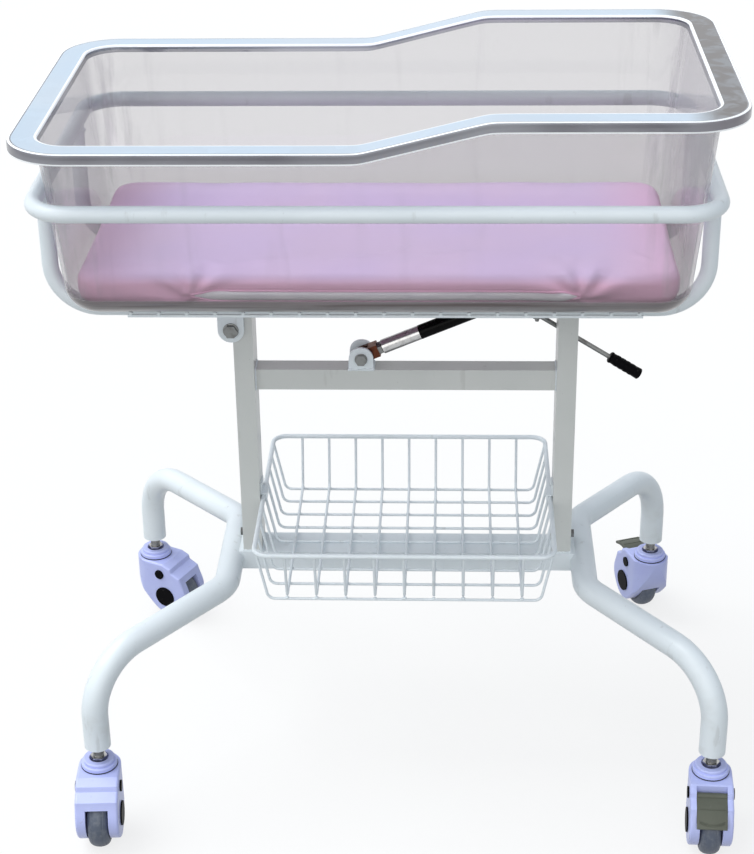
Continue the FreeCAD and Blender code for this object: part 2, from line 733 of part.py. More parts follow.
def turned(label, outline):
    """A body of revolution about its own Z, from (radius, height) steps."""
    body = new_body(label)
    profile = new_sketch(body, "XZ_Plane", "profile")
    add_outline(profile, outline)
    lathe = body.newObject("PartDesign::Revolution", label + "_turn")
    lathe.Profile = profile
    lathe.ReferenceAxis = (profile, ["V_Axis"])
    lathe.Angle = 360
    return body


def make_lower_bracket():
    """A channel on the crossbar with rounded ears and a bolt through them."""
    body = new_body("spring_bracket")
    section = new_sketch(body, "YZ_Plane", "section")
    deep, plate = num("crossbar_size / 2"), num("bracket_plate")
    top = num("bracket_rise + bracket_length / 2")
    add_outline(section, [(deep, 0), (deep, top), (deep - plate, top), (deep - plate, plate),
                          (plate - deep, plate), (plate - deep, top), (-deep, top), (-deep, 0)])
    channel = pad(body, section, "bracket_length", midplane=True)
    round_edges(body, channel, "bracket_length / 2 - 0.5",
                lambda e: abs(e.tangentAt(e.FirstParameter).y) > 0.9
                and e.BoundBox.ZMin > top - 0.01 and abs(e.BoundBox.XMin) > 1, "tops")
    doc.recompute()
    bore = new_sketch(body, "XZ_Plane", "bore")
    add_circle(bore, "pivot_bolt / 2", "0", "bracket_rise")
    pocket(body, bore, "crossbar_size + 2", "bolt_hole")
    place(body, PIVOT_X, "0", "crossbar_top")
    half = "( crossbar_size / 2 )"
    joined("spring_bolt",
           [cylinder("pivot_shank", "pivot_bolt / 2", "crossbar_size + pivot_bolt", PIVOT_X,
                     "0 - %s" % half, PIVOT_Z, ALONG_Y),
            hexagon("pivot_head", "pivot_flats", "0.65 * pivot_bolt", PIVOT_X,
                    "0 - %s - 0.65 * pivot_bolt" % half, PIVOT_Z, ALONG_Y),
            hexagon("pivot_nut", "pivot_flats", "0.8 * pivot_bolt", PIVOT_X, half, PIVOT_Z,
                    ALONG_Y)])


def make_fork():
    """A forked end on the bolt, its slot open past the pivot."""
    body = new_body("spring_fork")
    half, length = num("fork_width / 2"), num("fork_length")
    side = new_sketch(body, "XZ_Plane", "side")
    add_outline(side, [(half, length), (-half, length), (-half, 0), (0, -half, half, 0)])
    pad(body, side, "fork_width", midplane=True)
    gap = new_sketch(body, "YZ_Plane", "gap")
    add_rectangle(gap, "fork_slot", "fork_width + pivot_bolt")
    pocket(body, gap, "fork_width + 2", "slot")
    bore = new_sketch(body, "XZ_Plane", "bore")
    add_circle(bore, "pivot_bolt / 2 + running_gap")
    pocket(body, bore, "fork_width + 2", "cross_bore")
    on_spring(body)


def make_spring():
    """Locknut, sleeve, cylinder, rod and eye along the spring's axis."""
    _, reach = spring_line()
    start = num("fork_length")
    nut_end = num("fork_length + locknut_length")
    sleeve_end = nut_end + num("sleeve_length")
    end = sleeve_end + num("cylinder_length")
    outer, wall, rod = num("spring_diameter / 2"), num("spring_wall"), num("rod_diameter / 2")
    nut = doc.addObject("Part::Prism", "spring_locknut")
    nut.Polygon = 6
    bind(nut, Circumradius="( fork_width - 2 ) / 2 / cos ( 30 )", Height="locknut_length")
    on_spring(nut, start)
    on_spring(turned("spring_sleeve", [(outer - 1, nut_end), (outer, nut_end + 1),
                                       (outer, sleeve_end), (0, sleeve_end), (0, nut_end)]))
    gap, floor, gland = num("running_gap"), sleeve_end + 2 * wall, end - 5 * wall
    on_spring(turned("spring_cylinder",
                     [(outer, sleeve_end), (outer, end - wall), (outer - wall, end),
                      (rod + gap, end), (rod + gap, gland), (outer - wall, gland),
                      (outer - wall, floor), (0, floor), (0, sleeve_end)]))
    eye = num("pivot_bolt / 2 + head_play") + rod
    neck, seat = rod + 2, reach - eye - 1.5 * rod
    on_spring(turned("spring_rod", [(rod, end - num("rod_inside")), (rod, reach - eye),
                                    (0, reach - eye), (0, end - num("rod_inside"))]))
    head = new_body("spring_eye")
    side = new_sketch(head, "XZ_Plane", "side")
    low = math.sqrt(eye * eye - neck * neck)
    add_outline(side, [(neck, reach - low), (0, reach + eye, -neck, reach - low),
                       (-neck, seat), (neck, seat)])
    pad(head, side, "fork_width", midplane=True)
    bore = new_sketch(head, "XZ_Plane", "bore")
    bore.addGeometry(Part.Circle(Vector(0, reach, 0), Vector(0, 0, 1),
                                 num("pivot_bolt / 2 + head_play")), False)
    pocket(head, bore, "fork_width + 2", "eye_bore")
    socket = new_sketch(head, "XY_Plane", "socket")
    socket.AttachmentOffset = Placement(Vector(0, 0, seat), Rotation())
    add_circle(socket, "rod_diameter / 2")
    hole = head.newObject("PartDesign::Pocket", "eye_socket")
    hole.Profile = socket
    bind(hole, Length="0.75 * rod_diameter")
    hole.Reversed = True
    on_spring(head)


def hanging_bracket(label, half_gap, plate, drop, pin, height, x, y):
    """A channel under a cross member with a pin through its two ears."""
    body = new_body(label)
    section = new_sketch(body, "YZ_Plane", "section")
    gap, thick, deep = num(half_gap), num(plate), num("%s + %s" % (drop, pin))
    out = gap + thick
    add_outline(section, [(out, 0), (out, -deep), (gap, -deep), (gap, -thick), (-gap, -thick),
                          (-gap, -deep), (-out, -deep), (-out, 0)])
    channel = pad(body, section, "crossmember_width", midplane=True)
    round_edges(body, channel, "crossmember_width / 2 - 0.5",
                lambda e: abs(e.tangentAt(e.FirstParameter).y) > 0.9
                and e.BoundBox.ZMax < 0.01 - deep, "ends")
    bore = new_sketch(body, "XZ_Plane", "bore")
    add_circle(bore, "%s / 2" % pin, "0", "0 - ( %s )" % drop)
    pocket(body, bore, "4 * ( %s + %s )" % (half_gap, plate), "pin_hole")
    place(body, x, y, RAIL_BOTTOM)
    span = "( %s + %s )" % (half_gap, plate)
    return joined(label + "_pin",
                  [cylinder(label + "_shank", "%s / 2" % pin, "2 * %s + 0.4 * %s" % (span, pin),
                            x, "%s - %s" % (y, span), height, ALONG_Y),
                   cylinder(label + "_button", "0.75 * %s" % pin, "0.25 * %s" % pin, x,
                            "%s - %s - 0.25 * %s" % (y, span, pin), height, ALONG_Y)])


def make_brackets():
    """The gas spring's upper bracket and the release lever's bracket, with their pins."""
    grouped("bracket_pins",
            [hanging_bracket("head_bracket", "( fork_width / 2 + 1 )", "bracket_plate",
                             "head_drop", "pivot_bolt", HEAD_Z, HEAD_X, "0"),
             hanging_bracket("lever_bracket", "( lever_plate / 2 + slip_gap )",
                             "lever_plate", "lever_pivot_drop", "lever_rod", LEVER_Z, HEAD_X,
                             LEVER_Y)])


def make_lever():
    """The release lever: a link on a pin, a sloping rod, a stub and a grip."""
    body = new_body("lever_link")
    outline = new_sketch(body, "XZ_Plane", "outline")
    eye, dx, dz = num("lever_eye"), num("lever_step"), -num("lever_drop")
    run = math.hypot(dx, dz)
    ux, uz = dx / run, dz / run
    add_outline(outline, [(-ux * eye, -uz * eye, -uz * eye, ux * eye),
                          (dx - uz * eye, dz + ux * eye),
                          (dx + ux * eye, dz + uz * eye, dx + uz * eye, dz - ux * eye),
                          (uz * eye, -ux * eye)])
    add_circle(outline, "lever_rod / 2 + running_gap")
    pad(body, outline, "lever_plate", midplane=True)
    place(body, HEAD_X, LEVER_Y, LEVER_Z)
    end_x, end_z = "%s + lever_step" % HEAD_X, "%s - lever_drop" % LEVER_Z
    slope = Rotation(Vector(0, 1, 0), 90 + num("lever_slope"))
    joined("lever_arm",
           [body,
            cylinder("lever_bar", "lever_rod / 2", "lever_rod_length + grip_socket", end_x,
                     LEVER_Y, end_z, slope),
            cylinder("lever_stub", "stub_diameter / 2", "stub_length + lever_eye", end_x, LEVER_Y,
                     "%s - stub_length" % end_z)])
    outer, bore = num("grip_diameter / 2"), num("lever_rod / 2")
    length, socket = num("grip_length"), num("grip_socket")
    grip = turned("lever_grip",
                  [(outer - 2, 0), (outer, 2), (outer, length - 4),
                   (outer - 1.2, length - 1.2, outer - 4, length), (0, length), (0, socket),
                   (bore, socket), (bore, 0)])
    run_x = "lever_rod_length * cos ( lever_slope )"
    run_z = "lever_rod_length * sin ( lever_slope )"
    place(grip, "%s + %s" % (end_x, run_x), LEVER_Y, "%s - %s" % (end_z, run_z), slope)


# ---------------------------------------------------------------- basket

def make_basket():
    """A rim, two layers of wires that turn up the four walls, and hooks on the posts."""
    half_x, half_y = num(BASKET_HALF), num("basket_depth / 2")
    rim_z, radius = num(BASKET_RIM_Z), num("basket_wire / 2")
    corners = [Vector(-half_x, -half_y, rim_z), Vector(half_x, -half_y, rim_z),
               Vector(half_x, half_y, rim_z), Vector(-half_x, half_y, rim_z)]
    rim = bent_bar(corners, num("rim_wire / 2"), [num("basket_rim_bend")], True)
    place(new_feature("basket_rim", rim), "frame_shift")
    count, bend = int(num("basket_wire_count")), num("basket_bend")
    low, high = num("beam_top") + radius, num("beam_top") + 3 * radius
    floor_x = half_x - num("basket_end_flare")
    floor_y = half_y - num("basket_side_flare")
    lengthwise, crosswise = [], []
    for i in range(count):
        y = num("lengthwise_pitch") * (i - (count - 1) / 2)
        x = num("crosswise_pitch") * (i - (count - 1) / 2)
        along = [Vector(-half_x, y, rim_z), Vector(-floor_x, y, low), Vector(floor_x, y, low),
                 Vector(half_x, y, rim_z)]
        across = [Vector(x, -half_y, rim_z), Vector(x, -floor_y, high), Vector(x, floor_y, high),
                  Vector(x, half_y, rim_z)]
        lengthwise.append(bent_bar(along, radius, [bend]).cut(rim))
        crosswise.append(bent_bar(across, radius, [bend]).cut(rim))
    place(new_feature("basket_lengthwise_wires", Part.makeCompound(lengthwise)), "frame_shift")
    place(new_feature("basket_crosswise_wires", Part.makeCompound(crosswise)), "frame_shift")
    hooks = []
    for name, way, turn in (("left_hook", "-", Rotation()),
                            ("right_hook", "+", Rotation(Vector(0, 0, 1), 180))):
        hook = new_body(name)
        section = new_sketch(hook, "XZ_Plane", "section")
        plate, out = num("hook_plate"), num("rim_wire + slip_gap + hook_plate")
        add_outline(section, [(0, num("hook_height")), (plate, num("hook_height")),
                              (plate, plate), (out, plate), (out, -num("rim_wire")),
                              (out - plate, -num("rim_wire")), (out - plate, 0), (0, 0)])
        pad(hook, section, "hook_width", midplane=True)
        place(hook, "frame_shift %s %s" % (way, POST_INNER), "0",
              "%s + rim_wire / 2" % BASKET_RIM_Z, turn)
        hooks.append(hook)
    grouped("basket_hooks", hooks)


# ---------------------------------------------------------------- casters

def aim(item, name, forward="0", height="0", turn=None):
    """Put a caster's item at its stem axis, turned to the way the caster trails."""
    x, y, heading = CASTERS[name]
    turned_by = Rotation(Vector(0, 0, 1), num(heading))
    place(item, "%s + ( %s ) * cos ( %s )" % (x, forward, heading),
          "%s + ( %s ) * sin ( %s )" % (y, forward, heading), height,
          turned_by.multiply(turn) if turn else turned_by)
    return item


def make_caster_mounts():
    """What holds the casters in the legs: inserts, stems with nuts, and collars."""
    inserts, stems, collars = [], [], []
    for name, (x, y, _) in CASTERS.items():
        plug = cylinder(name + "_plug", "leg_diameter / 2 - leg_wall", "insert_length", x, y,
                        FOOT_Z)
        hole = cylinder(name + "_plug_hole", "stem_diameter / 2", "insert_length", x, y, FOOT_Z)
        inserts.append(cut(name + "_insert", plug, hole))
        base = "( %s - stem_depth + slip_gap )" % HOUSING_TOP
        stem = cylinder(name + "_stem", "stem_diameter / 2",
                        "%s + insert_length - %s" % (FOOT_Z, base), x, y, base)
        nut = hexagon(name + "_nut", "stem_nut", "stem_nut_height", x, y, NUT_Z)
        stems.append(joined(name + "_stem_and_nut", [stem, nut]))
        wide, bore = num("collar_diameter / 2"), num("stem_diameter / 2")
        tall, floor = num("collar_height"), num("collar_height - nut_recess")
        step, mouth = 0.87 * wide, num("0.66 * stem_nut")
        collar = turned(name + "_collar",
                        [(wide, 0), (wide, 0.4 * tall),
                         (wide - 0.6, 0.52 * tall, wide - 2, 0.57 * tall), (step, 0.57 * tall),
                         (step, 0.85 * tall), (step - 0.8, 0.96 * tall, step - 2.5, tall),
                         (mouth, tall), (mouth, floor), (bore, floor), (bore, 0)])
        collars.append(place(collar, x, y, "%s + slip_gap" % HOUSING_TOP))
    grouped("leg_inserts", inserts)
    grouped("caster_stems", stems)
    grouped("caster_collars", collars)


def make_housing(name, braked):
    """A twin-shell housing: cheeks beside the wheel, a stepped hood over it, a round nose."""
    body = new_body(name + "_housing")
    r, top, trail = num("wheel_diameter / 2"), num(HOUSING_TOP), num("caster_trail")
    half = num("housing_width / 2")
    side = new_sketch(body, "XZ_Plane", "side")
    hood = [(-half, top), (trail - 0.04 * r, top), (trail + 0.28 * r, top - 5),
            (trail + 0.33 * r, top - 11), (trail + 0.68 * r, top - 17.5)]
    curve = [(0.707, 1.92), (0.83, 1.6), (0.915, 1.3), (0.88, 1.0), (0.707, 0.69),
             (0.387, 0.4), (0, 0.307), (-0.333, 0.413), (-0.667, 0.693), (-1.013, 1.093),
             (-1.307, 1.6), (-1.45, 2.107)]
    lid = [Vector(x, z, 0) for x, z in hood]
    points = [Vector(trail + across * r, up * r, 0) for across, up in curve] + [lid[0]]
    cheek = Part.BSplineCurve()
    cheek.interpolate(points)
    side.addGeometry(cheek, False)
    for start, end in zip(lid, lid[1:] + points[:1]):
        side.addGeometry(Part.LineSegment(start, end), False)
    blank = pad(body, side, "housing_width", midplane=True)
    round_edges(body, blank, "housing_edge",
                lambda e: abs(abs(e.Vertexes[0].Y + e.Vertexes[-1].Y) / 2 - half) < 0.01, "edges")
    doc.recompute()
    nose = new_sketch(body, "XY_Plane", "nose")
    out = 2 * half
    add_outline(nose, [(0, out), (-out, out), (-out, -out), (0, -out), (0, -half),
                       (-half, 0, 0, half)])
    pocket(body, nose, "2 * ( %s + housing_edge )" % HOUSING_TOP, "nose_cut")
    arch = new_sketch(body, "XZ_Plane", "arch")
    add_circle(arch, "wheel_diameter / 2 + wheel_clearance", "caster_trail", "wheel_diameter / 2")
    slot = "wheel_width + 2 * slip_gap + 2"
    pocket(body, arch, slot, "wheel_slot")
    mouth = new_sketch(body, "XZ_Plane", "mouth")
    add_rectangle(mouth, "wheel_diameter", "0.92 * wheel_diameter",
                  "caster_trail + wheel_diameter / 2", "0.42 * wheel_diameter")
    pocket(body, mouth, slot, "wheel_mouth")
    axle = new_sketch(body, "XZ_Plane", "axle")
    add_circle(axle, "axle_diameter / 2", "caster_trail", "wheel_diameter / 2")
    pocket(body, axle, "housing_width + 2", "axle_hole")
    bore = new_sketch(body, "XY_Plane", "stem", HOUSING_TOP)
    add_circle(bore, "stem_diameter / 2 + running_gap")
    hole = body.newObject("PartDesign::Pocket", name + "_stem_hole")
    hole.Profile = bore
    bind(hole, Length="stem_depth")
    if braked:
        cut_notch(body)
    return aim(body, name)


def cut_notch(body):
    """The notch in the hood for the pedal, and the blind holes for its pin."""
    notch = new_sketch(body, "XZ_Plane", "notch")
    back = "( pedal_forward - 1.4 * pedal_pin )"
    add_rectangle(notch, "wheel_diameter", "0.6 * wheel_diameter", back + " + wheel_diameter / 2",
                  "pedal_height")
    pocket(body, notch, "pedal_width + 2 * slip_gap", "pedal_notch")
    eye = new_sketch(body, "XZ_Plane", "pin")
    add_circle(eye, "pedal_pin / 2", "pedal_forward", "pedal_height")
    pocket(body, eye, "pedal_width + 2 * ( slip_gap + pin_grip )", "pin_hole")


def make_wheel(name):
    """A tyre round a hub, the axle through them, and the caps on the housing's sides."""
    r, half = num("wheel_diameter / 2"), num("wheel_width / 2")
    rim, edge = num("hub_diameter / 2"), num("tyre_round")
    soft = edge * (1 - math.sqrt(0.5))
    flat = Rotation(Vector(1, 0, 0), -90)
    tyre = turned(name + "_tyre",
                  [(r - edge, -half), (r - soft, soft - half, r, edge - half), (r, half - edge),
                   (r - soft, half - soft, r - edge, half), (rim, half), (rim, -half)])
    aim(tyre, name, "caster_trail", "wheel_diameter / 2", flat)
    bore = num("axle_diameter / 2 + running_gap")
    web, boss = half - num("wheel_width / 6"), num("axle_diameter")
    hub = turned(name + "_hub",
                 [(rim, -half), (rim, half), (rim - 4, half), (rim - 5, web), (boss + 1, web),
                  (boss, half), (bore, half), (bore, -half), (boss, -half), (boss + 1, -web),
                  (rim - 5, -web), (rim - 4, -half)])
    aim(hub, name, "caster_trail", "wheel_diameter / 2", flat)


def make_pins(name, braked):
    """The axle, the caps over its ends and, if braked, the pedal's pin."""
    side = "( housing_width / 2 )"
    turned_by = Rotation(Vector(0, 0, 1), num(CASTERS[name][2]))
    x, y, heading = CASTERS[name]

    def across(piece, forward, height, start):
        place(piece, "%s + ( %s ) * cos ( %s ) - ( %s ) * sin ( %s )"
              % (x, forward, heading, start, heading),
              "%s + ( %s ) * sin ( %s ) + ( %s ) * cos ( %s )"
              % (y, forward, heading, start, heading), height,
              turned_by.multiply(Rotation(Vector(1, 0, 0), -90)))
        return piece

    def rod(label, radius, length):
        item = doc.addObject("Part::Cylinder", label)
        bind(item, Radius=radius, Height=length)
        return item

    pieces = [across(rod(name + "_axle", "axle_diameter / 2", "housing_width"), "caster_trail",
                     "wheel_diameter / 2", "0 - " + side)]
    caps = (("hub_cap", "hub_cap / 2", "caster_trail", "1.09 * wheel_diameter / 2"),
            ("pin_cap", "pin_cap / 2", "caster_trail - wheel_diameter / 10",
             "2.03 * wheel_diameter / 2"))
    for label, radius, forward, height in caps:
        for end, start in (("left", "0 - %s - cap_height" % side), ("right", side)):
            cap = rod("%s_%s_%s" % (name, label, end), radius, "cap_height")
            pieces.append(across(cap, forward, height, start))
    if braked:
        span = "( pedal_width / 2 + slip_gap + pin_grip )"
        pieces.append(across(rod(name + "_pedal_pin", "pedal_pin / 2", "2 * " + span),
                             "pedal_forward", "pedal_height", "0 - " + span))
    grouped(name + "_pins", pieces)


def make_pedal(name, raise_angle=None):
    """A brake pedal on its pin: an eye, a plate that follows the tyre and a turned-out toe."""
    body = new_body(name + "_pedal")
    eye, r = num("pedal_pin"), num("wheel_diameter / 2")
    ahead, under = num("caster_trail - pedal_forward"), num("wheel_diameter / 2 - pedal_height")
    inner = r + 3
    outer = inner + num("pedal_plate")

    def round_wheel(radius, angle):
        turn = math.radians(angle)
        return ahead + radius * math.cos(turn), under + radius * math.sin(turn)

    end, lip = round_wheel(inner, 32), round_wheel(outer, 36.5)
    side = new_sketch(body, "XZ_Plane", "side")
    add_outline(side, [(*round_wheel(inner, 55), *end), (end[0] + 3.2, end[1] - 3),
                       (end[0] + 5.2, end[1] - 0.5), lip, (*round_wheel(outer, 55), eye, 0),
                       (0, eye, -eye, 0), (-0.707 * eye, -0.707 * eye, 0, -eye)])
    add_circle(side, "pedal_pin / 2 + running_gap")
    pad(body, side, "pedal_width", midplane=True)
    turn = Rotation(Vector(0, -1, 0), num(raise_angle)) if raise_angle else None
    aim(body, name, "pedal_forward", "pedal_height", turn)


def make_casters():
    for name in CASTERS:
        braked = name in ("fr", "rr")
        make_housing(name, braked)
        make_wheel(name)
        make_pins(name, braked)
    make_pedal("fr")
    make_pedal("rr", "pedal_raise")


for make in (make_beam, make_posts, make_crossbar, make_legs, make_hinge, make_ring, make_rails,
             make_crossmembers, make_deck, make_tub, make_mattress, make_lower_bracket, make_fork,
             make_spring, make_brackets, make_lever, make_basket, make_caster_mounts,
             make_casters):
    make()
doc.recompute()

NODES = ["left_leg", "right_leg", "base_beam", "left_post", "right_post", "post_caps",
         "post_spigots", "post_screws", "rest_pad", "crossbar", "hinge_bush", "spring_bracket",
         "spring_bolt", "basket_rim", "basket_lengthwise_wires", "basket_crosswise_wires",
         "basket_hooks", "leg_inserts", "caster_stems", "caster_collars", "cradle_ring",
         "front_rail", "rear_rail", "hinge_crossmember", "rest_crossmember",
         "spring_crossmember", "deck_wires", "hinge_ears", "hinge_bolt", "head_bracket",
         "lever_bracket", "bracket_pins", "tub_shell", "mattress", "spring_fork",
         "spring_locknut", "spring_sleeve", "spring_cylinder", "spring_rod", "spring_eye",
         "lever_arm", "lever_grip", "fr_pedal", "rr_pedal"]
NODES += [name + "_" + piece for name in CASTERS for piece in ("housing", "pins", "tyre", "hub")]

for item in doc.Objects:
    if "Invalid" in item.State or "Error" in item.State:
        raise RuntimeError("%s did not build" % item.Label)
pieces = {item.Label: item for item in doc.Objects if item.Label in NODES}
for label in NODES:
    shape = pieces[label].Shape
    if shape.isNull() or not shape.isValid() or not shape.Solids:
        raise RuntimeError("%s has no sound solid" % label)
for label in NODES:
    pieces[label].Shape.exportStep("parts/%s.step" % label)
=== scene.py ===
"""Hospital bassinet: finishes, clear tub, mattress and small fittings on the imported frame."""

import math

import bmesh
import bpy
from mathutils import Matrix, Vector, noise
from mathutils.bvhtree import BVHTree


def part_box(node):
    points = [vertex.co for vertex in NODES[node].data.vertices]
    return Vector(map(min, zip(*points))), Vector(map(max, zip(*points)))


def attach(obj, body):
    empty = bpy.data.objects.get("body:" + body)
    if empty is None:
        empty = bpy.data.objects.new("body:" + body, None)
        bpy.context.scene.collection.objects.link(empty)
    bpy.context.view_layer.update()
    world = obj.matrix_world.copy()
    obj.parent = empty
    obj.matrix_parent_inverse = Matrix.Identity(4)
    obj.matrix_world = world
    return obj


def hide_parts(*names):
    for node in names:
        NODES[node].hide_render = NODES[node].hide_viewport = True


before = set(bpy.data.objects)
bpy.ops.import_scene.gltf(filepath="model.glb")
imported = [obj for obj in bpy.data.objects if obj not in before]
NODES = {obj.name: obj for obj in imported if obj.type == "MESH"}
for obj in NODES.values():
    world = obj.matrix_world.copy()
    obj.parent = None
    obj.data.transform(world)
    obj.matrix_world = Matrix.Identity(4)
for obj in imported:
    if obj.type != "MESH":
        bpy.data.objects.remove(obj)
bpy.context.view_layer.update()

MM = 0.001

# ---------------- driving sizes, in metres

TUB_LOW, TUB_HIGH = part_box("tub_shell")
RIM_HIGH = TUB_HIGH.z
RIM_LOW = RIM_HIGH - 35 * MM
RAMP_START = -30.6 * MM
RAMP_END = 109.4 * MM
RAMP_SOFTNESS = 0.05
RIM_CORNER = 70 * MM
FLANGE = 29 * MM
LIP = 12.6 * MM
WALL = 4 * MM
DRAFT = math.tan(math.radians(5))
WALL_CORNER = 42 * MM
FOOT_ROUND = 35 * MM
RIM_ROUND = 2.2 * MM

PAD_LOW, PAD_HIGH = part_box("mattress")

HEADINGS = {"fl": -87, "fr": -93, "rl": -26.5, "rr": 110}


def middle_of(node):
    low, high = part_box(node)
    return (low + high) / 2


FRAME_X = middle_of("crossbar").x
FRAME_Y = middle_of("crossbar").y


def placed(name, data):
    """A new object that stands in the scene."""
    made = bpy.data.objects.new(name, data)
    bpy.context.scene.collection.objects.link(made)
    return made


# ---------------- node trees as plain sums

class Wire:
    """One output of a node. Sums on it add Math nodes."""

    def __init__(self, graph, socket):
        self.graph = graph
        self.socket = socket

    def math(self, operation, *terms):
        return self.graph.node("ShaderNodeMath", {"operation": operation}, dict(enumerate(terms)))

    def __add__(self, other):
        return self.math("ADD", self, other)

    def __radd__(self, other):
        return self.math("ADD", other, self)

    def __sub__(self, other):
        return self.math("SUBTRACT", self, other)

    def __rsub__(self, other):
        return self.math("SUBTRACT", other, self)

    def __mul__(self, other):
        return self.math("MULTIPLY", self, other)

    def __pow__(self, other):
        return self.math("POWER", self, other)

    def between(self, low, high):
        """0 below low, 1 above high, smooth between them."""
        settings = {"interpolation_type": "SMOOTHSTEP"}
        inputs = {"Value": self, "From Min": low, "From Max": high}
        return self.graph.node("ShaderNodeMapRange", settings, inputs)

    def sine(self):
        return self.math("SINE", self)

    def size(self):
        return self.math("ABSOLUTE", self)

    def least(self, other):
        return self.math("MINIMUM", self, other)

    def most(self, other):
        return self.math("MAXIMUM", self, other)


class Graph:
    """A node tree that is written as calls."""

    def __init__(self, tree):
        self.tree = tree

    def node(self, kind, settings=None, inputs=None, output=0):
        made = self.tree.nodes.new(kind)
        for name, value in (settings or {}).items():
            setattr(made, name, value)
        for name, value in (inputs or {}).items():
            if isinstance(value, Wire):
                self.tree.links.new(value.socket, made.inputs[name])
            else:
                made.inputs[name].default_value = value
        return Wire(self, made.outputs[output])


class Finish(Graph):
    """A material that reads the piece's own Object coordinates."""

    def __init__(self, name):
        self.material = bpy.data.materials.new(name)
        self.material.use_nodes = True
        super().__init__(self.material.node_tree)
        self.tree.nodes.clear()
        self.place = self.node("ShaderNodeTexCoord", output="Object")

    def axes(self):
        """The x, y and z of a point on the piece, in metres."""
        split = self.node("ShaderNodeSeparateXYZ", inputs={"Vector": self.place})
        return tuple(Wire(self, socket) for socket in split.socket.node.outputs)

    def stretched(self, x, y, z):
        settings = {"operation": "MULTIPLY"}
        return self.node("ShaderNodeVectorMath", settings, {0: self.place, 1: (x, y, z)})

    def noise(self, scale, detail=2.0, vector=None, distortion=0.0):
        inputs = {"Vector": vector or self.place, "Scale": scale, "Detail": detail,
                  "Distortion": distortion}
        return self.node("ShaderNodeTexNoise", inputs=inputs, output="Fac")

    def cells(self, scale):
        inputs = {"Vector": self.place, "Scale": scale}
        return self.node("ShaderNodeTexVoronoi", inputs=inputs, output="Distance")

    def mix(self, share, first, second):
        settings = {"data_type": "RGBA"}
        return self.node("ShaderNodeMix", settings, {0: share, 6: first, 7: second}, output=2)

    def bump(self, height, depth, strength=1.0, under=None):
        inputs = {"Height": height, "Distance": depth, "Strength": strength}
        if under:
            inputs["Normal"] = under
        return self.node("ShaderNodeBump", inputs=inputs)

    def principled(self, **inputs):
        named = {}
        for name, value in inputs.items():
            named[name.replace("_", " ").title().replace("Ior", "IOR")] = value
        return self.node("ShaderNodeBsdfPrincipled", inputs=named)

    def blended(self, share, first, second):
        return self.node("ShaderNodeMixShader", inputs={0: share, 1: first, 2: second})

    def finished(self, shader):
        end = self.tree.nodes.new("ShaderNodeOutputMaterial")
        self.tree.links.new(shader.socket, end.inputs["Surface"])
        return self.material


class Growth(Graph):
    """A geometry tree with named inputs, for what repeats or follows a path."""

    def __init__(self, name, **inputs):
        super().__init__(bpy.data.node_groups.new(name, "GeometryNodeTree"))
        self.sockets = {}
        add = self.tree.interface.new_socket
        for label, kind in {"Shape": "Geometry", **inputs, "Finish": "Material"}.items():
            socket = add(label, in_out="INPUT", socket_type="NodeSocket" + kind)
            self.sockets[label] = socket.identifier
        add("Shape", in_out="OUTPUT", socket_type="NodeSocketGeometry")
        self.entry = self.tree.nodes.new("NodeGroupInput")

    def given(self, label):
        return Wire(self, self.entry.outputs[label])

    def ends(self, shape):
        """Turn copies into mesh, smooth it, give it its finish and hand it out."""
        real = self.node("GeometryNodeRealizeInstances", inputs={"Geometry": shape})
        smooth = self.node("GeometryNodeSetShadeSmooth", inputs={"Geometry": real})
        coated = self.node("GeometryNodeSetMaterial",
                           inputs={"Geometry": smooth, "Material": self.given("Finish")})
        leave = self.tree.nodes.new("NodeGroupOutput")
        self.tree.links.new(coated.socket, leave.inputs["Shape"])
        return self

    def copies(self, points, instance, **more):
        """End the tree with a copy of a shape on each point."""
        inputs = {"Points": points, "Instance": instance, **more}
        return self.ends(self.node("GeometryNodeInstanceOnPoints", inputs=inputs))

    def swept(self, path, radius, sides):
        """A round rod along a path."""
        section = self.node("GeometryNodeCurvePrimitiveCircle",
                            inputs={"Resolution": sides, "Radius": radius})
        return self.node("GeometryNodeCurveToMesh",
                         inputs={"Curve": path, "Profile Curve": section, "Fill Caps": True})

    def grown(self, name, base, body, slot, **values):
        """Grow the tree on a base mesh and keep the result as a piece of its own."""
        seed = placed(name + "_base", base)
        growth = seed.modifiers.new("growth", "NODES")
        growth.node_group = self.tree
        for label, value in {**values, "Finish": FINISHES[slot]}.items():
            growth[self.sockets[label]] = value
        mesh = baked(seed).data
        bpy.data.objects.remove(seed)
        return new_piece(name, mesh, body, slot)


def tone(red, green, blue):
    """A colour written in screen values of 0 to 255."""
    def linear(value):
        value /= 255
        return value / 12.92 if value <= 0.04045 else ((value + 0.055) / 1.055) ** 2.4
    return (linear(red), linear(green), linear(blue), 1.0)


# ---------------- finishes

def paint(name, colour, shade):
    """Powder coat: fine orange peel, faint clouds, dust low down and small rubbed marks."""
    f = Finish(name)
    x, y, z = f.axes()
    peel = f.noise(900, 3)
    clouds = f.noise(9, 4)
    rubbed = f.noise(60, 6, f.stretched(1, 1, 0.25)).between(0.64, 0.72)
    specks = f.cells(75).between(0.0, 0.07)
    dirt = f.noise(35, 5).between(0.5, 0.75) * (1 - z.between(0.02, 0.3)) * 0.35
    clean = f.mix(clouds.between(0.3, 0.7) * 0.5, colour, shade)
    marked = f.mix(rubbed * 0.2, clean, tone(160, 158, 152))
    chipped = f.mix((1 - specks) * 0.3, marked, tone(120, 116, 108))
    dusty = f.mix(dirt, chipped, tone(176, 172, 162))
    rough = 0.3 + clouds * 0.16 + rubbed * 0.12
    normal = f.bump(peel, 0.05 * MM, 0.8, f.bump(f.noise(140, 2), 0.12 * MM, 0.5))
    return f.finished(f.principled(base_color=dusty, roughness=rough, normal=normal,
                                   coat_weight=0.15, coat_roughness=0.15))


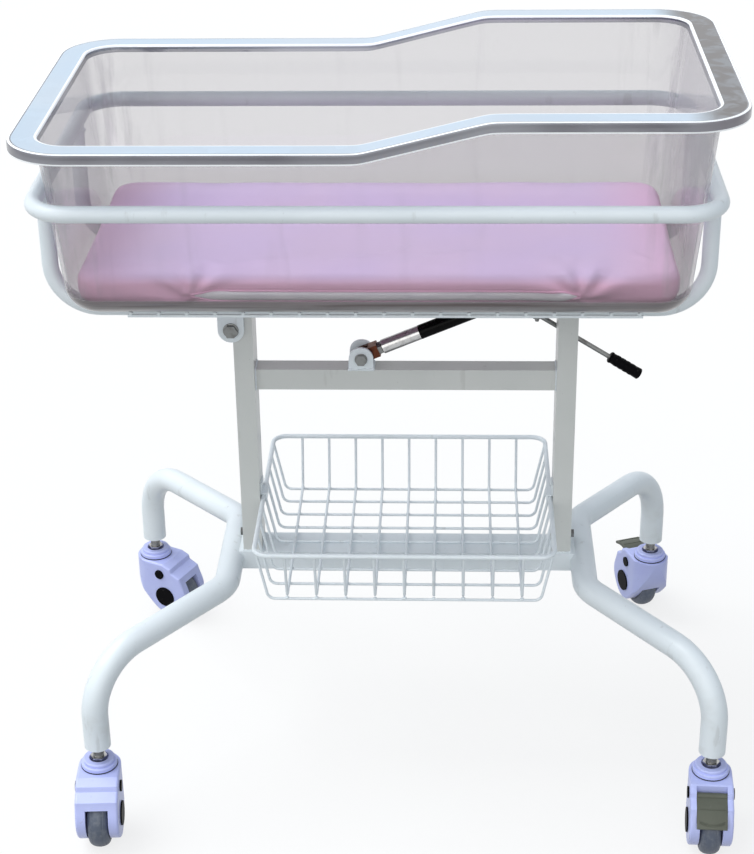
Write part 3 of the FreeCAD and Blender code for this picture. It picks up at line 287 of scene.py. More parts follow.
def plated(name, colour, stain_and_painted_light, roughness, grain):
    """Plated or bright steel: turning marks, stains and a soft shine."""
    f = Finish(name)
    marks = f.noise(grain, 4, f.stretched(1, 1, 6))
    stains = f.noise(130, 5).between(0.45, 0.75)
    shade = f.mix(stains * 0.55, colour, stain_and_painted_light)
    normal = f.bump(marks, 0.03 * MM, 0.6)
    rough = roughness + marks * 0.12 + stains * 0.15
    return f.finished(f.principled(base_color=shade, metallic=1.0, roughness=rough, normal=normal))


def moulded(name, colour, shade, roughness, coat, grain=1400, depth=0.03, shine=0.5):
    """Moulded plastic or thick paint: fine grain, flow clouds and handling marks."""
    f = Finish(name)
    clouds = f.noise(28, 4, distortion=0.6)
    marks = f.noise(220, 6, f.stretched(1, 0.3, 1)).between(0.64, 0.74)
    colours = f.mix(clouds.between(0.3, 0.75) * 0.6, colour, shade)
    worn = f.mix(marks * 0.18, colours, tone(120, 116, 112))
    normal = f.bump(f.noise(grain, 2), depth * MM, 0.8)
    rough = roughness + marks * 0.15 + clouds * 0.08
    return f.finished(f.principled(base_color=worn, roughness=rough, normal=normal,
                                   coat_weight=coat, coat_roughness=0.15,
                                   specular_ior_level=shine))


def rubber():
    """The casters' tread: grey-blue, dusty and scuffed."""
    f = Finish("tread_rubber")
    dust = f.noise(160, 6).between(0.42, 0.7)
    scuffs = f.noise(700, 4)
    colour = f.mix(dust * 0.5, tone(84, 92, 108), tone(128, 131, 138))
    normal = f.bump(scuffs, 0.08 * MM, 0.7)
    return f.finished(f.principled(base_color=colour, roughness=0.45 + dust * 0.2, normal=normal))


def cover_cloth():
    """The mattress cover: a close plain weave with a faint sheen, rosier towards its sides."""
    f = Finish("cover_cloth")
    x, y, z = f.axes()
    weave = (x * 5200).sine() * (y * 5200).sine()
    slubs = f.noise(420, 3, f.stretched(0.2, 1, 1))
    clouds = f.noise(7, 4)
    creases = f.noise(46, 5, distortion=0.5)
    top = f.mix(clouds.between(0.3, 0.7), tone(236, 207, 249), tone(240, 209, 245))
    side = f.mix(clouds, tone(255, 200, 230), tone(250, 190, 222))
    level = z.between(PAD_HIGH.z - 16 * MM, PAD_HIGH.z - 3 * MM)
    ends = (x - middle_of("mattress").x).size().between(0.24, 0.34) * 0.6
    colour = f.mix(level * (1 - ends), side, top)
    shaded = f.mix(slubs.between(0.55, 0.8) * 0.12, colour, tone(186, 146, 184))
    fold = f.bump(creases, 0.6 * MM, 0.25)
    normal = f.bump(weave + slubs * 0.6, 0.05 * MM, 0.6, fold)
    return f.finished(f.principled(base_color=shaded, roughness=0.62 + weave * 0.04, normal=normal,
                                   sheen_weight=0.12, sheen_roughness=0.5))


def lining_cloth():
    """The pale inner pad that shows in the cover's opening."""
    f = Finish("lining_cloth")
    x, y, z = f.axes()
    knit = (x * 3600).sine() * (z * 3600).sine()
    colour = f.mix(f.noise(90, 4, f.stretched(0.3, 1, 3)).between(0.3, 0.7), tone(255, 254, 255),
                   tone(238, 236, 242))
    normal = f.bump(knit, 0.06 * MM, 0.6)
    return f.finished(f.principled(base_color=colour, roughness=0.8 + knit * 0.04, normal=normal))


def clear_sheet(name, veil, tint, body, streak_x, streak_z, sharp=0.03,
                stain_and_painted_light=None, painted_light_colour=None, glow=0.0):
    """Clear plastic: see-through face on, milky edge on, with painted highlight streaks, and
    painted shade and reflection where a mask is given.
    """
    f = Finish(name)
    edge_on = f.node("ShaderNodeLayerWeight", inputs={"Blend": 0.5}, output="Facing")
    # Painted highlight: streaky lines of thicker milky haze.
    painted_highlight_streaks = f.noise(34, 4, f.stretched(streak_x, streak_x, streak_z), distortion=0.4)
    ripple = f.noise(26, 2, f.stretched(1, 1, 0.5))
    milk = veil + edge_on ** 2.5 * 0.4 + painted_highlight_streaks.between(0.56, 0.78) * (veil * 1.2)
    shine = 0.03 + edge_on ** 5 * 0.4
    normal = f.bump(ripple, 0.6 * MM, 0.35)
    colour = f.mix(f.noise(5, 2).between(0.35, 0.65) * 0.35, body, tone(212, 214, 220))
    # The mask passed in paints light and shade: it pulls the colour to its own tone and thickens
    # the haze.
    if stain_and_painted_light:
        share = stain_and_painted_light(f, *f.axes())
        colour = f.mix(share.least(1.0), colour, painted_light_colour)
        milk = milk + share
    # glow gives the haze light of its own: a painted highlight on edges that are no lamp.
    haze = f.principled(base_color=colour, roughness=0.3, normal=normal,
                        emission_color=(0.94, 0.98, 1.0, 1), emission_strength=glow)
    open_part = f.node("ShaderNodeBsdfTransparent", inputs={"Color": tint})
    gloss = f.node("ShaderNodeBsdfGlossy",
                   inputs={"Color": (1, 1, 1, 1), "Roughness": sharp, "Normal": normal})
    sheet = f.blended(milk.least(0.97), open_part, haze)
    return f.finished(f.blended(shine, sheet, gloss))


def wall_painted_refraction(f, x, y, z):
    """Painted refraction and reflection: grey lines down the tub's corners, and a darker head end.
    """
    long_way = (x - middle_of("tub_shell").x).size().between(0.27, 0.37)
    short_way = (y - FRAME_Y).size().between(0.1, 0.19)
    lines = f.noise(70, 3, f.stretched(1, 1, 0.06)).between(0.46, 0.72)
    return long_way * short_way * lines * 0.3 + x.between(0.3, 0.37) * 0.12


# Top of the band of painted shade on the tub's foot.
FOOT_BAND = TUB_LOW.z + 25 * MM


def foot_painted_shade(f, x, y, z):
    """Painted shade: the dark band along the front of the thick rounded foot, with lines along it,
    where the shade under the mattress shows through the wall.
    """
    lines = f.noise(120, 3, f.stretched(0.05, 0.05, 1.6)).between(0.35, 0.7)
    front = 1 - y.between(FRAME_Y - 150 * MM, FRAME_Y - 120 * MM)
    return (1 - z.between(FOOT_BAND - 3 * MM, FOOT_BAND)) * front * (0.7 + lines * 0.28)


def brim_painted_reflection(f, x, y, z):
    """Painted reflection: taupe patches on the brim's head end, where the ground shows in the
    clear plastic.
    """
    patches = f.noise(38, 4, distortion=0.8).between(0.36, 0.56)
    return x.between(0.31, 0.355) * (0.82 + patches * 0.16)


WALL_TINT = (0.872, 0.865, 0.87, 1)
WALL_BODY = tone(200, 196, 198)

FINISHES = {
    # Its white carries a faint blue cast: painted reflection of the sky.
    "frame_paint": paint("frame_paint_coat", tone(239, 245, 249), tone(228, 235, 239)),
    # A darker copy of the frame's white: painted shade for the upright faces of the posts and the
    # crossbar.
    "post_paint": paint("post_paint_coat", tone(215, 216, 213), tone(202, 205, 202)),
    "zinc": plated("zinc_plate", tone(124, 126, 126), tone(84, 82, 78), 0.32, 500),
    "copper": plated("copper_plate", tone(90, 52, 38), tone(46, 28, 22), 0.3, 600),
    "bright": plated("bright_steel", tone(190, 190, 190), tone(130, 128, 126), 0.12, 900),
    "black_paint": moulded("black_gloss_paint", tone(4, 4, 5), tone(7, 7, 8), 0.14, 0.0,
                           grain=900, depth=0.02, shine=0.06),
    "black_plastic": moulded("black_moulding", tone(5, 5, 8), tone(13, 13, 15), 0.4, 0.0,
                             shine=0.04),
    "mattress_cover": cover_cloth(),
    "caster_plastic": moulded("lilac_moulding", tone(196, 203, 251), tone(187, 193, 247), 0.36,
                              0.15),
    "tread": rubber(),
    "hub_plastic": moulded("grey_moulding", tone(110, 114, 126), tone(92, 96, 108), 0.4, 0.1),
    "pedal_plastic": moulded("olive_moulding", tone(80, 84, 72), tone(64, 68, 58), 0.46, 0.05),
    # Its mask paints refraction lines at the corners and a darker head end.
    "clear_plastic": clear_sheet("clear_wall", 0.035, WALL_TINT, WALL_BODY, 1, 0.12,
                                 stain_and_painted_light=wall_painted_refraction, painted_light_colour=tone(150, 148, 152)),
}
LINING = lining_cloth()

# The crossbar takes the darker post paint as painted shade.
FINISH_OF = {"crossbar": "post_paint", "lever_arm": "zinc", "caster_stems": "bright"}


def finish_frame():
    """Give each CAD node the finish that its slot names, but for the three pieces above."""
    for name, node in NODES.items():
        for holder in node.material_slots:
            slot = holder.material.name.split(".")[0]
            holder.material = FINISHES[FINISH_OF.get(name, slot)]


# ---------------- making pieces

def new_piece(name, mesh, body, slot, *finishes):
    """A piece that rides a body. It takes its slot's finish where it has and is given none."""
    piece = placed(name, mesh)
    for finish in finishes:
        mesh.materials.append(finish)
    if not mesh.materials:
        mesh.materials.append(FINISHES[slot])
    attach(piece, body)
    return piece


def baked(form):
    """Apply what stands on an object and return it with a plain mesh."""
    view = bpy.context.evaluated_depsgraph_get()
    mesh = bpy.data.meshes.new_from_object(form.evaluated_get(view))
    form.modifiers.clear()
    form.data = mesh
    return form


def mesh_from(shape, name):
    mesh = bpy.data.meshes.new(name)
    shape.to_mesh(mesh)
    shape.free()
    return mesh


def lofted(name, rings, bands, caps=False, outward=False):
    """A mesh through closed rings of equal count. bands gives each strip's material number."""
    shape = bmesh.new()
    rows = [[shape.verts.new(point) for point in ring] for ring in rings]
    count = len(rows[0])
    for strip, (row, following) in enumerate(zip(rows, rows[1:])):
        for k in range(count):
            after = (k + 1) % count
            face = shape.faces.new((row[k], row[after], following[after], following[k]))
            face.smooth = True
            face.material_index = bands[strip]
    if caps:
        shape.faces.new(list(reversed(rows[0]))).material_index = bands[0]
        shape.faces.new(rows[-1]).material_index = bands[-1]
    bmesh.ops.remove_doubles(shape, verts=shape.verts, dist=0.01 * MM)
    if outward:
        bmesh.ops.recalc_face_normals(shape, faces=shape.faces)
    return mesh_from(shape, name)


def spokes(axis, steps):
    """Directions spaced evenly round an axis."""
    aside = axis.orthogonal().normalized()
    upward = axis.cross(aside)
    angles = [2 * math.pi * step / steps for step in range(steps)]
    return [aside * math.cos(angle) + upward * math.sin(angle) for angle in angles]


def lathe(name, body, slot, profile, centre, axis, steps):
    """A piece made by turning a closed profile of (radius, place along the axis) pairs."""
    axis = Vector(axis).normalized()
    around = spokes(axis, steps)
    rings = []
    for radius, along in [*profile, profile[0]]:
        rings.append([centre + axis * along + spoke * radius for spoke in around])
    mesh = lofted(name, rings, [0] * len(profile), outward=True)
    return new_piece(name, mesh, body, slot)


def path_mesh(name, *paths):
    """A mesh of bare edges. Each path is its points and whether it closes."""
    mesh = bpy.data.meshes.new(name)
    points, edges = [], []
    for line, closes in paths:
        first = len(points)
        points += [tuple(point) for point in line]
        edges += [(first + k, first + k + 1) for k in range(len(line) - 1)]
        if closes:
            edges.append((len(points) - 1, first))
    mesh.from_pydata(points, edges, [])
    return mesh


def box_loop(low, high, flat, level):
    """A closed rectangle in the plane where axis number flat stays at level."""
    across, along = [k for k in range(3) if k != flat]
    line = []
    for first, second in ((low, low), (high, low), (high, high), (low, high)):
        point = [0.0, 0.0, 0.0]
        point[flat], point[across], point[along] = level, first[across], second[along]
        line.append(point)
    return line, True


# ---------------- what repeats

def uneven_size(g, x, y, z):
    """A bead's three sides, a little larger or smaller from bead to bead."""
    form = g.node("ShaderNodeCombineXYZ", inputs={"X": x, "Y": y, "Z": z})
    uneven = g.given("Uneven")
    limits = {2: 1 - uneven, 3: 1 + uneven, "Seed": g.given("Seed")}
    factor = g.node("FunctionNodeRandomValue", {"data_type": "FLOAT"}, limits, output=1)
    return g.node("ShaderNodeVectorMath", {"operation": "SCALE"}, {0: form, "Scale": factor})


def bead_tree():
    """Beads along a path, a step apart, each a little uneven: welds and stitches."""
    g = Growth("bead_row", Step="Float", Length="Float", Width="Float", Uneven="Float", Seed="Int")
    path = g.node("GeometryNodeMeshToCurve", inputs={"Mesh": g.given("Shape")})
    path = g.node("GeometryNodeResampleCurve", {"mode": "LENGTH"},
                  {"Curve": path, "Length": g.given("Step")})
    run = g.node("GeometryNodeInputTangent")
    facing = g.node("FunctionNodeAlignRotationToVector", {"axis": "X"}, {"Vector": run})
    bead = g.node("GeometryNodeMeshUVSphere", inputs={"Segments": 8, "Rings": 5, "Radius": 0.5})
    size = uneven_size(g, g.given("Length"), g.given("Width"), g.given("Width"))
    return g.copies(path, bead, Rotation=facing, Scale=size)


def dot_tree():
    """A low bead on each point: the spot welds where wires cross."""
    g = Growth("dot_on_point", Width="Float", Height="Float", Uneven="Float", Seed="Int")
    bead = g.node("GeometryNodeMeshUVSphere", inputs={"Segments": 8, "Rings": 5, "Radius": 0.5})
    size = uneven_size(g, g.given("Width"), g.given("Width"), g.given("Height"))
    return g.copies(g.given("Shape"), bead, Scale=size)


def thread_tree():
    """A screw thread that rises from each point."""
    g = Growth("thread_on_point", Radius="Float", Rise="Float", Turns="Float", Ridge="Float")
    radius = g.given("Radius")
    spiral = g.node("GeometryNodeCurveSpiral", inputs={
        "Resolution": 20, "Rotations": g.given("Turns"), "Start Radius": radius,
        "End Radius": radius, "Height": g.given("Rise")})
    return g.copies(g.given("Shape"), g.swept(spiral, g.given("Ridge"), 4))


def rod_tree():
    """A round rod along a path: hems and ribs."""
    g = Growth("rod_on_path", Radius="Float", Sides="Int")
    path = g.node("GeometryNodeMeshToCurve", inputs={"Mesh": g.given("Shape")})
    return g.ends(g.swept(path, g.given("Radius"), g.given("Sides")))


BEADS, DOTS, THREADS, RODS = bead_tree(), dot_tree(), thread_tree(), rod_tree()


# ---------------- tub

LONG_STEPS, SHORT_STEPS, ARC_STEPS = 190, 36, 14


def loop_stations():
    """A rounded rectangle's points: from corner, to corner, share of the way, direction."""
    stations = []
    for side, steps in enumerate((LONG_STEPS, SHORT_STEPS, LONG_STEPS, SHORT_STEPS)):
        following = (side + 1) % 4
        facing = math.radians(90 * side - 90)
        stations += [(side, following, i / steps, facing) for i in range(steps)]
        stations += [(side, following, 1.0, facing + math.radians(90 * i / ARC_STEPS))
                     for i in range(ARC_STEPS)]
    return stations


STATIONS = loop_stations()


def loop_point(station, left, right, front, back, corner):
    start, end, share, facing = station
    xs = (left + corner, right - corner, right - corner, left + corner)
    ys = (front + corner, front + corner, back - corner, back - corner)
    x = xs[start] + (xs[end] - xs[start]) * share + corner * math.cos(facing)
    y = ys[start] + (ys[end] - ys[start]) * share + corner * math.sin(facing)
    return x, y


def rim_height(x):
    """The brim's height at x: low, a ramp with soft ends, high."""
    share = (x - RAMP_START) / (RAMP_END - RAMP_START)
    soft = RAMP_SOFTNESS ** 2
    rise = (math.sqrt(share ** 2 + soft) - math.sqrt((share - 1) ** 2 + soft) + 1) / 2
    return RIM_LOW + (RIM_HIGH - RIM_LOW) * rise


def rim_point(station, inset):
    return loop_point(station, TUB_LOW.x + inset, TUB_HIGH.x - inset,
                      TUB_LOW.y + inset, TUB_HIGH.y - inset, RIM_CORNER - inset)


def rim_ring(inset, drop):
    """A ring that follows the brim, inset from its outer edge and so far under its top."""
    points = [rim_point(station, inset) for station in STATIONS]
    return [(x, y, rim_height(x) - drop) for x, y in points]


def wall_point(station, z, inset, corner):
    side = FLANGE + inset + DRAFT * (RIM_LOW - z)
    head = FLANGE + inset + DRAFT * (RIM_HIGH - z)
    return loop_point(station, TUB_LOW.x + side, TUB_HIGH.x - head,
                      TUB_LOW.y + side, TUB_HIGH.y - side, corner)


WALL_STEPS, FOOT_STEPS = 14, 9
# The ring just under the brim: the inner skin above it takes the painted shade line.
LINE_SHARE = 0.014
SOLE_INSET, SOLE_CORNER = 12 * MM, 3 * MM


def wall_rings(inset, foot, radius):
    """Rings down the wall's inner or outer skin and round its foot, from the brim to the floor."""
    rings = []
    corner = WALL_CORNER - inset
    tops = [rim_height(rim_point(station, FLANGE)[0]) - (RIM_ROUND + WALL)
            for station in STATIONS]
    turn = foot + radius
    shares = [(step / (WALL_STEPS - 1)) ** 1.2 for step in range(1, WALL_STEPS)]
    for share in [0.0, LINE_SHARE, *shares]:
        ring = []
        for station, top in zip(STATIONS, tops):
            z = top + (turn - top) * share
            ring.append((*wall_point(station, z, inset, corner), z))
        rings.append(ring)
    for step in range(1, FOOT_STEPS + 1):
        angle = math.radians(90 * step / FOOT_STEPS)
        shift = radius * (1 - math.cos(angle))
        z = turn - radius * math.sin(angle)
        round_corner = max(corner - shift, SOLE_CORNER)
        points = [wall_point(station, turn, inset + shift, round_corner) for station in STATIONS]
        rings.append([(x, y, z) for x, y in points])
    sole = inset + radius + SOLE_INSET
    points = [wall_point(station, turn, sole, SOLE_CORNER) for station in STATIONS]
    rings.append([(x, y, foot) for x, y in points])
    return rings


def rounded(inset, drop, radius, first, last, steps=4):
    """(inset, drop) pairs round a centre, by angle from straight up towards the outside."""
    pairs = []
    for step in range(steps + 1):
        angle = math.radians(first + (last - first) * step / steps)
        pairs.append((inset - radius * math.sin(angle), drop - radius * math.cos(angle)))
    return pairs


WALL_FINISH, BRIM_FINISH, LIP_PAINTED_REFLECTION_FINISH, PAINTED_HIGHLIGHT_FINISH, PAINTED_SHADE_LINE_FINISH, FOOT_PAINTED_SHADE_FINISH = range(6)


def tub_finishes():
    # Brim: its head end takes the painted reflection of its mask.
    brim = clear_sheet("clear_brim", 0.78, (0.97, 0.985, 0.99, 1), tone(192, 212, 231), 0.6, 1.0,
                       sharp=0.06, stain_and_painted_light=brim_painted_reflection, painted_light_colour=tone(60, 54, 56))
    # Lip: mauve grey, painted reflection of the darker horizon. Its head end takes more painted
    # reflection.
    lip = clear_sheet("clear_lip", 0.86, (0.9, 0.9, 0.92, 1), tone(98, 95, 104), 0.25, 1.0,
                      sharp=0.08, stain_and_painted_light=brim_painted_reflection, painted_light_colour=tone(128, 122, 130))
    # Edge: bright white with a glow, a painted highlight.
    edge = clear_sheet("clear_edge", 0.85, (0.96, 0.97, 0.98, 1), tone(253, 254, 255), 0.3, 1.0,
                       sharp=0.05, glow=0.2)
    # Line: dark grey, painted shade of the wall seen edge on.
    line = clear_sheet("clear_line", 0.7, (0.9, 0.9, 0.92, 1), tone(84, 86, 98), 0.3, 1.0,
                       sharp=0.05)
    # Foot: the clear wall with a band of painted shade along its front.
    foot = clear_sheet("clear_foot", 0.06, WALL_TINT, WALL_BODY, 1, 0.12,
                       stain_and_painted_light=foot_painted_shade, painted_light_colour=tone(50, 26, 28))
    return FINISHES["clear_plastic"], brim, lip, edge, line, foot


# INNER_LINE and OUTER_LINE: widths of the painted highlight and the painted shade line on the
# brim.
INNER_LINE = 1.2 * MM
OUTER_LINE = 1.3 * MM
LIP_ROUND = 1.2 * MM


def brim_profile():
    """The brim and its lip in section: (inset, drop) pairs from the inner edge outwards and under,
    each with the finish of the strip that follows it. The edge strips are painted highlight, the
    line strip painted shade and the lip strips painted reflection."""
    inner = FLANGE + WALL - RIM_ROUND
    flat = inner - RIM_ROUND
    turned = rounded(RIM_ROUND, RIM_ROUND, RIM_ROUND, 0, 90)
    # The outer edge's turn takes the painted highlight up to here.
    bright = len(turned) // 2
    outer_foot = rounded(LIP_ROUND, LIP - LIP_ROUND, LIP_ROUND, 90, 180)
    inner_foot = rounded(WALL - LIP_ROUND, LIP - LIP_ROUND, LIP_ROUND, 180, 270)
    strips = (
        (PAINTED_HIGHLIGHT_FINISH, rounded(inner, RIM_ROUND, RIM_ROUND, -90, 0)),
        (BRIM_FINISH, [(inner - INNER_LINE, 0.0)]),
        (BRIM_FINISH, [(inner - flat * share, 0.0) for share in (0.2, 0.4, 0.6, 0.8)]),
        (PAINTED_SHADE_LINE_FINISH, [(RIM_ROUND + 2 * OUTER_LINE, 0.0)]),
        (PAINTED_HIGHLIGHT_FINISH, [(RIM_ROUND + OUTER_LINE, 0.0), *turned[:bright]]),
        (LIP_PAINTED_REFLECTION_FINISH, [*turned[bright:], (0.0, LIP * 0.35), (0.0, LIP * 0.6)]),
        (PAINTED_HIGHLIGHT_FINISH, [(0.0, LIP * 0.84), *outer_foot, *inner_foot]),
        (LIP_PAINTED_REFLECTION_FINISH, [(WALL, LIP * 0.6), (WALL, WALL + 1 * MM)]),
        (BRIM_FINISH, [(WALL + 1 * MM, WALL), (FLANGE - 3 * MM, WALL),
                       (FLANGE - 0.5 * MM, WALL + 1 * MM)]))
    return [(pair, finish) for finish, pairs in strips for pair in pairs]


def make_tub():
    """One clear shell: inner skin, flat brim that steps up, turned-down lip, outer skin."""
    inner = wall_rings(WALL, TUB_LOW.z + WALL, FOOT_ROUND - WALL)
    outer = wall_rings(0.0, TUB_LOW.z, FOOT_ROUND)
    profile = brim_profile()
    rings = [*reversed(inner), *(rim_ring(*pair) for pair, _ in profile), *outer]
    # The top of the inner skin takes the painted shade line.
    skin = [WALL_FINISH] * (len(inner) - 2) + [PAINTED_SHADE_LINE_FINISH] * 2
    # The foot's strips take the finish with the band of painted shade.
    sole = [WALL_FINISH] * (len(outer) - FOOT_STEPS - 1) + [FOOT_PAINTED_SHADE_FINISH] * (FOOT_STEPS + 1)
    bands = skin + [finish for _, finish in profile] + sole
    mesh = lofted("clear_tub", rings, bands, caps=True)
    tub = new_piece("clear_tub", mesh, "tub", "clear_plastic", *tub_finishes())
    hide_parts("tub_shell")


# ---------------- mattress

PAD_CORNER = 29 * MM
PAD_EDGE = 13 * MM
PAD_SWELL = 4 * MM
PAD_CELL = 6 * MM
OPENING_LEFT = -224 * MM
OPENING_RIGHT = 214 * MM
OPENING_LEVEL = PAD_LOW.z + 16.5 * MM
OPENING_HALF = 6 * MM
OPENING_STEPS = 70
FILLING_FRAMES = 20
FILLING_PRESSURE = 4


def slab(low, high):
    """A closed rounded slab in even cells, as a first shape for the mattress."""
    shape = bmesh.new()
    bmesh.ops.create_cube(shape, size=1.0)
    size = high - low
    bmesh.ops.scale(shape, vec=size, verts=shape.verts)
    upright = [e for e in shape.edges if abs(e.verts[0].co.z - e.verts[1].co.z) > size.z / 2]
    bmesh.ops.bevel(shape, geom=upright, offset=PAD_CORNER, segments=10, profile=0.5,
                    affect="EDGES")
    flat = [e for e in shape.edges if abs(e.verts[0].co.z - e.verts[1].co.z) < 0.1 * MM
            and len(e.link_faces) == 2 and any(len(face.verts) > 8 for face in e.link_faces)]
    bmesh.ops.bevel(shape, geom=flat, offset=PAD_EDGE, segments=5, profile=0.5, affect="EDGES")
    bmesh.ops.translate(shape, vec=(high + low) / 2, verts=shape.verts)
    form = placed("mattress_form", mesh_from(shape, "mattress_form"))
    remesh = form.modifiers.new("even_cells", "REMESH")
    remesh.mode = "VOXEL"
    remesh.voxel_size = PAD_CELL
    return baked(form)


def puff(form):
    """Fill a form with air as cloth, and hold each point within the swell of where it started."""
    starts = [vertex.co.copy() for vertex in form.data.vertices]
    cloth = form.modifiers.new("filling", "CLOTH")
    cloth.settings.use_pressure = True
    cloth.settings.uniform_pressure_force = FILLING_PRESSURE
    cloth.settings.effector_weights.gravity = 0.0
    cloth.settings.tension_stiffness = 18
    cloth.settings.bending_stiffness = 1.5
    cloth.point_cache.frame_start = 1
    cloth.point_cache.frame_end = FILLING_FRAMES
    for step in range(1, FILLING_FRAMES + 1):
        bpy.context.scene.frame_set(step)
    baked(form)
    bpy.context.scene.frame_set(1)
    for vertex, start in zip(form.data.vertices, starts):
        move = vertex.co - start
        if move.length > PAD_SWELL:
            vertex.co = start + move * (PAD_SWELL / move.length)


def eased(value):
    value = min(1.0, max(0.0, value))
    return value * value * (3 - 2 * value)


def opening_share(x):
    """1 along the cover's opening, 0 past its ends."""
    return eased((x - OPENING_LEFT) / (25 * MM)) * eased((OPENING_RIGHT - x) / (25 * MM))


# Each crease in the cover's top: its middle in millimetres, its turn in radians, its length.
CREASES = (((10, -98), 0.5, 22), ((62, -112), 0.35, 30), ((-40, -122), 0.2, 26),
           ((178, -128), 0.6, 16), ((205, -118), 1.2, 14), ((-150, -130), 0.25, 30),
           ((-196, -138), -0.5, 18), ((285, -120), 2.2, 20))
CREASE_HALF = 3.5 * MM
CREASE_HEIGHT = 2 * MM
GATHER_FOLDS = 8
GATHER_HEIGHT = 5 * MM
TUCK_DEPTH = 2.6 * MM


def crease(point):
    """How far the cover stands out: soft waves, creases, gathers and a tucked opening."""
    x, y, z = point
    front = eased((PAD_LOW.y + 70 * MM - y) / (70 * MM))
    lift = noise.noise(Vector((x * 9, y * 13, z * 20))) * 1.1 * MM
    lift += noise.noise(Vector((x * 30, y * 42, z * 40))) * (0.3 + 0.7 * front) * MM
    for place, turn, length in CREASES:
        away = Vector((x, y)) - Vector(place) * MM
        along = away.x * math.cos(turn) + away.y * math.sin(turn)
        across = away.y * math.cos(turn) - away.x * math.sin(turn) + along * along * 3
        spread = (along / (length * MM)) ** 2 + (across / CREASE_HALF) ** 2
        lift += math.exp(-spread) * CREASE_HEIGHT
    for end, size in ((OPENING_LEFT, 1.0), (OPENING_RIGHT, 1.25)):
        across = x - end
        above = (z - OPENING_LEVEL) + (y - PAD_LOW.y) * 0.8
        reach = math.hypot(across, above)
        turn = math.atan2(above, across)
        fade = math.exp(-reach / (38 * MM * size)) * min(1.0, reach / (9 * MM))
        lift += math.sin(turn * GATHER_FOLDS + end * 20) * fade * GATHER_HEIGHT * size * front
        lift -= math.exp(-(reach / (8 * MM)) ** 2) * 3 * MM * front
    wall = eased((PAD_LOW.y + 16 * MM - y) / (10 * MM))
    gap = eased(1.6 - abs(z - OPENING_LEVEL) / OPENING_HALF)
    return lift - wall * gap * opening_share(x) * TUCK_DEPTH


def gather(form):
    """Lay the creases and gathers on a form, then make its mesh finer."""
    points = form.data.vertices
    shifts = [vertex.normal * crease(vertex.co) for vertex in points]
    for vertex, shift in zip(points, shifts):
        vertex.co += shift
    finer = form.modifiers.new("finer", "SUBSURF")
    finer.levels = 1
    finer.render_levels = 1
    baked(form)


def front_of(skin, x, z):
    """Where the mattress's front face lies at x and z."""
    start = Vector((x, PAD_LOW.y - 0.1, z))
    hit = skin.ray_cast(start, Vector((0, 1, 0)))[0]
    return hit.y if hit else PAD_LOW.y


def opening_line(skin, level, stand_off):
    """A line along the opening, so far above or below its middle, laid on the cover."""
    line = []
    for step in range(OPENING_STEPS + 1):
        x = OPENING_LEFT + (OPENING_RIGHT - OPENING_LEFT) * step / OPENING_STEPS
        z = OPENING_LEVEL + level * (0.25 + 0.75 * opening_share(x))
        line.append((x, front_of(skin, x, z) - stand_off, z))
    return line


LINING_ROUND = 3.4 * MM


def make_lining(skin):
    """The inner pad's pale edge in the opening, with fine channels along it."""
    rings = []
    steps, sides = 90, 16
    for step in range(steps + 1):
        share = step / steps
        x = OPENING_LEFT + 4 * MM + (OPENING_RIGHT - OPENING_LEFT - 8 * MM) * share
        full = 0.15 + 0.85 * opening_share(x)
        middle = front_of(skin, x, OPENING_LEVEL) + 0.4 * MM
        ring = []
        for side in range(sides):
            angle = 2 * math.pi * side / sides
            channel = 1 - 0.12 * math.cos(angle * 6)
            ring.append((x, middle - math.cos(angle) * LINING_ROUND * full * channel,
                         OPENING_LEVEL + math.sin(angle) * OPENING_HALF * full))
        rings.append(ring)
    mesh = lofted("pad_lining", rings, [0] * steps, caps=True)
    new_piece("pad_lining", mesh, "mattress_pad", "mattress_cover", LINING)


def make_mattress():
    """The filled cover, its opening with the lining in it, hems and a row of stitches."""
    inward = Vector((PAD_SWELL * 0.3, PAD_SWELL * 0.7, PAD_SWELL * 0.5))
    form = slab(PAD_LOW + inward, PAD_HIGH - inward)
    puff(form)
    gather(form)
    mesh = form.data
    bpy.data.objects.remove(form)
    for face in mesh.polygons:
        face.use_smooth = True
    skin = BVHTree.FromPolygons([vertex.co for vertex in mesh.vertices],
                                [face.vertices for face in mesh.polygons])
    pad = new_piece("mattress_cover", mesh, "mattress_pad", "mattress_cover")
    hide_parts("mattress")
    make_lining(skin)
    hems = path_mesh("hem_lines", (opening_line(skin, OPENING_HALF, 0.2 * MM), False),
                     (opening_line(skin, -OPENING_HALF, 0.2 * MM), False))
    RODS.grown("opening_hems", hems, "mattress_pad", "mattress_cover", Radius=1.1 * MM, Sides=8)
    row = opening_line(skin, OPENING_HALF + 4 * MM, 0.1 * MM)
    BEADS.grown("opening_stitches", path_mesh("stitch_line", (row, False)), "mattress_pad",
                "mattress_cover", Step=4.2 * MM, Length=2.8 * MM, Width=0.7 * MM, Uneven=0.1,
                Seed=3)


# ---------------- welds

BEAM_SEAM_OUT = 1.5 * MM
RAIL_TUBE_HALF = 9.5 * MM
RAIL_SEAM_RADIUS = 10 * MM
EAR_THICKNESS = 4 * MM


def frame_seams():
    """Where the frame's tubes and plates are welded."""
    bar_low, bar_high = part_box("crossbar")
    seams = [box_loop(bar_low, bar_high, 0, x) for x in (bar_low.x, bar_high.x)]
    beam_low, beam_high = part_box("base_beam")
    for x in (beam_low.x, beam_high.x):
        place = x + BEAM_SEAM_OUT * (-1 if x < FRAME_X else 1)
        for z in (beam_low.z + 1 * MM, beam_high.z - 1 * MM):
            seams.append(([(place, beam_low.y, z), (place, beam_high.y, z)], False))
    for post in ("left_post", "right_post"):
        low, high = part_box(post)
        seams.append(box_loop(low, high, 2, low.z + 0.4 * MM))
    low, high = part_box("spring_bracket")
    seams.append(box_loop(low, high, 2, bar_high.z + 0.3 * MM))
    return seams


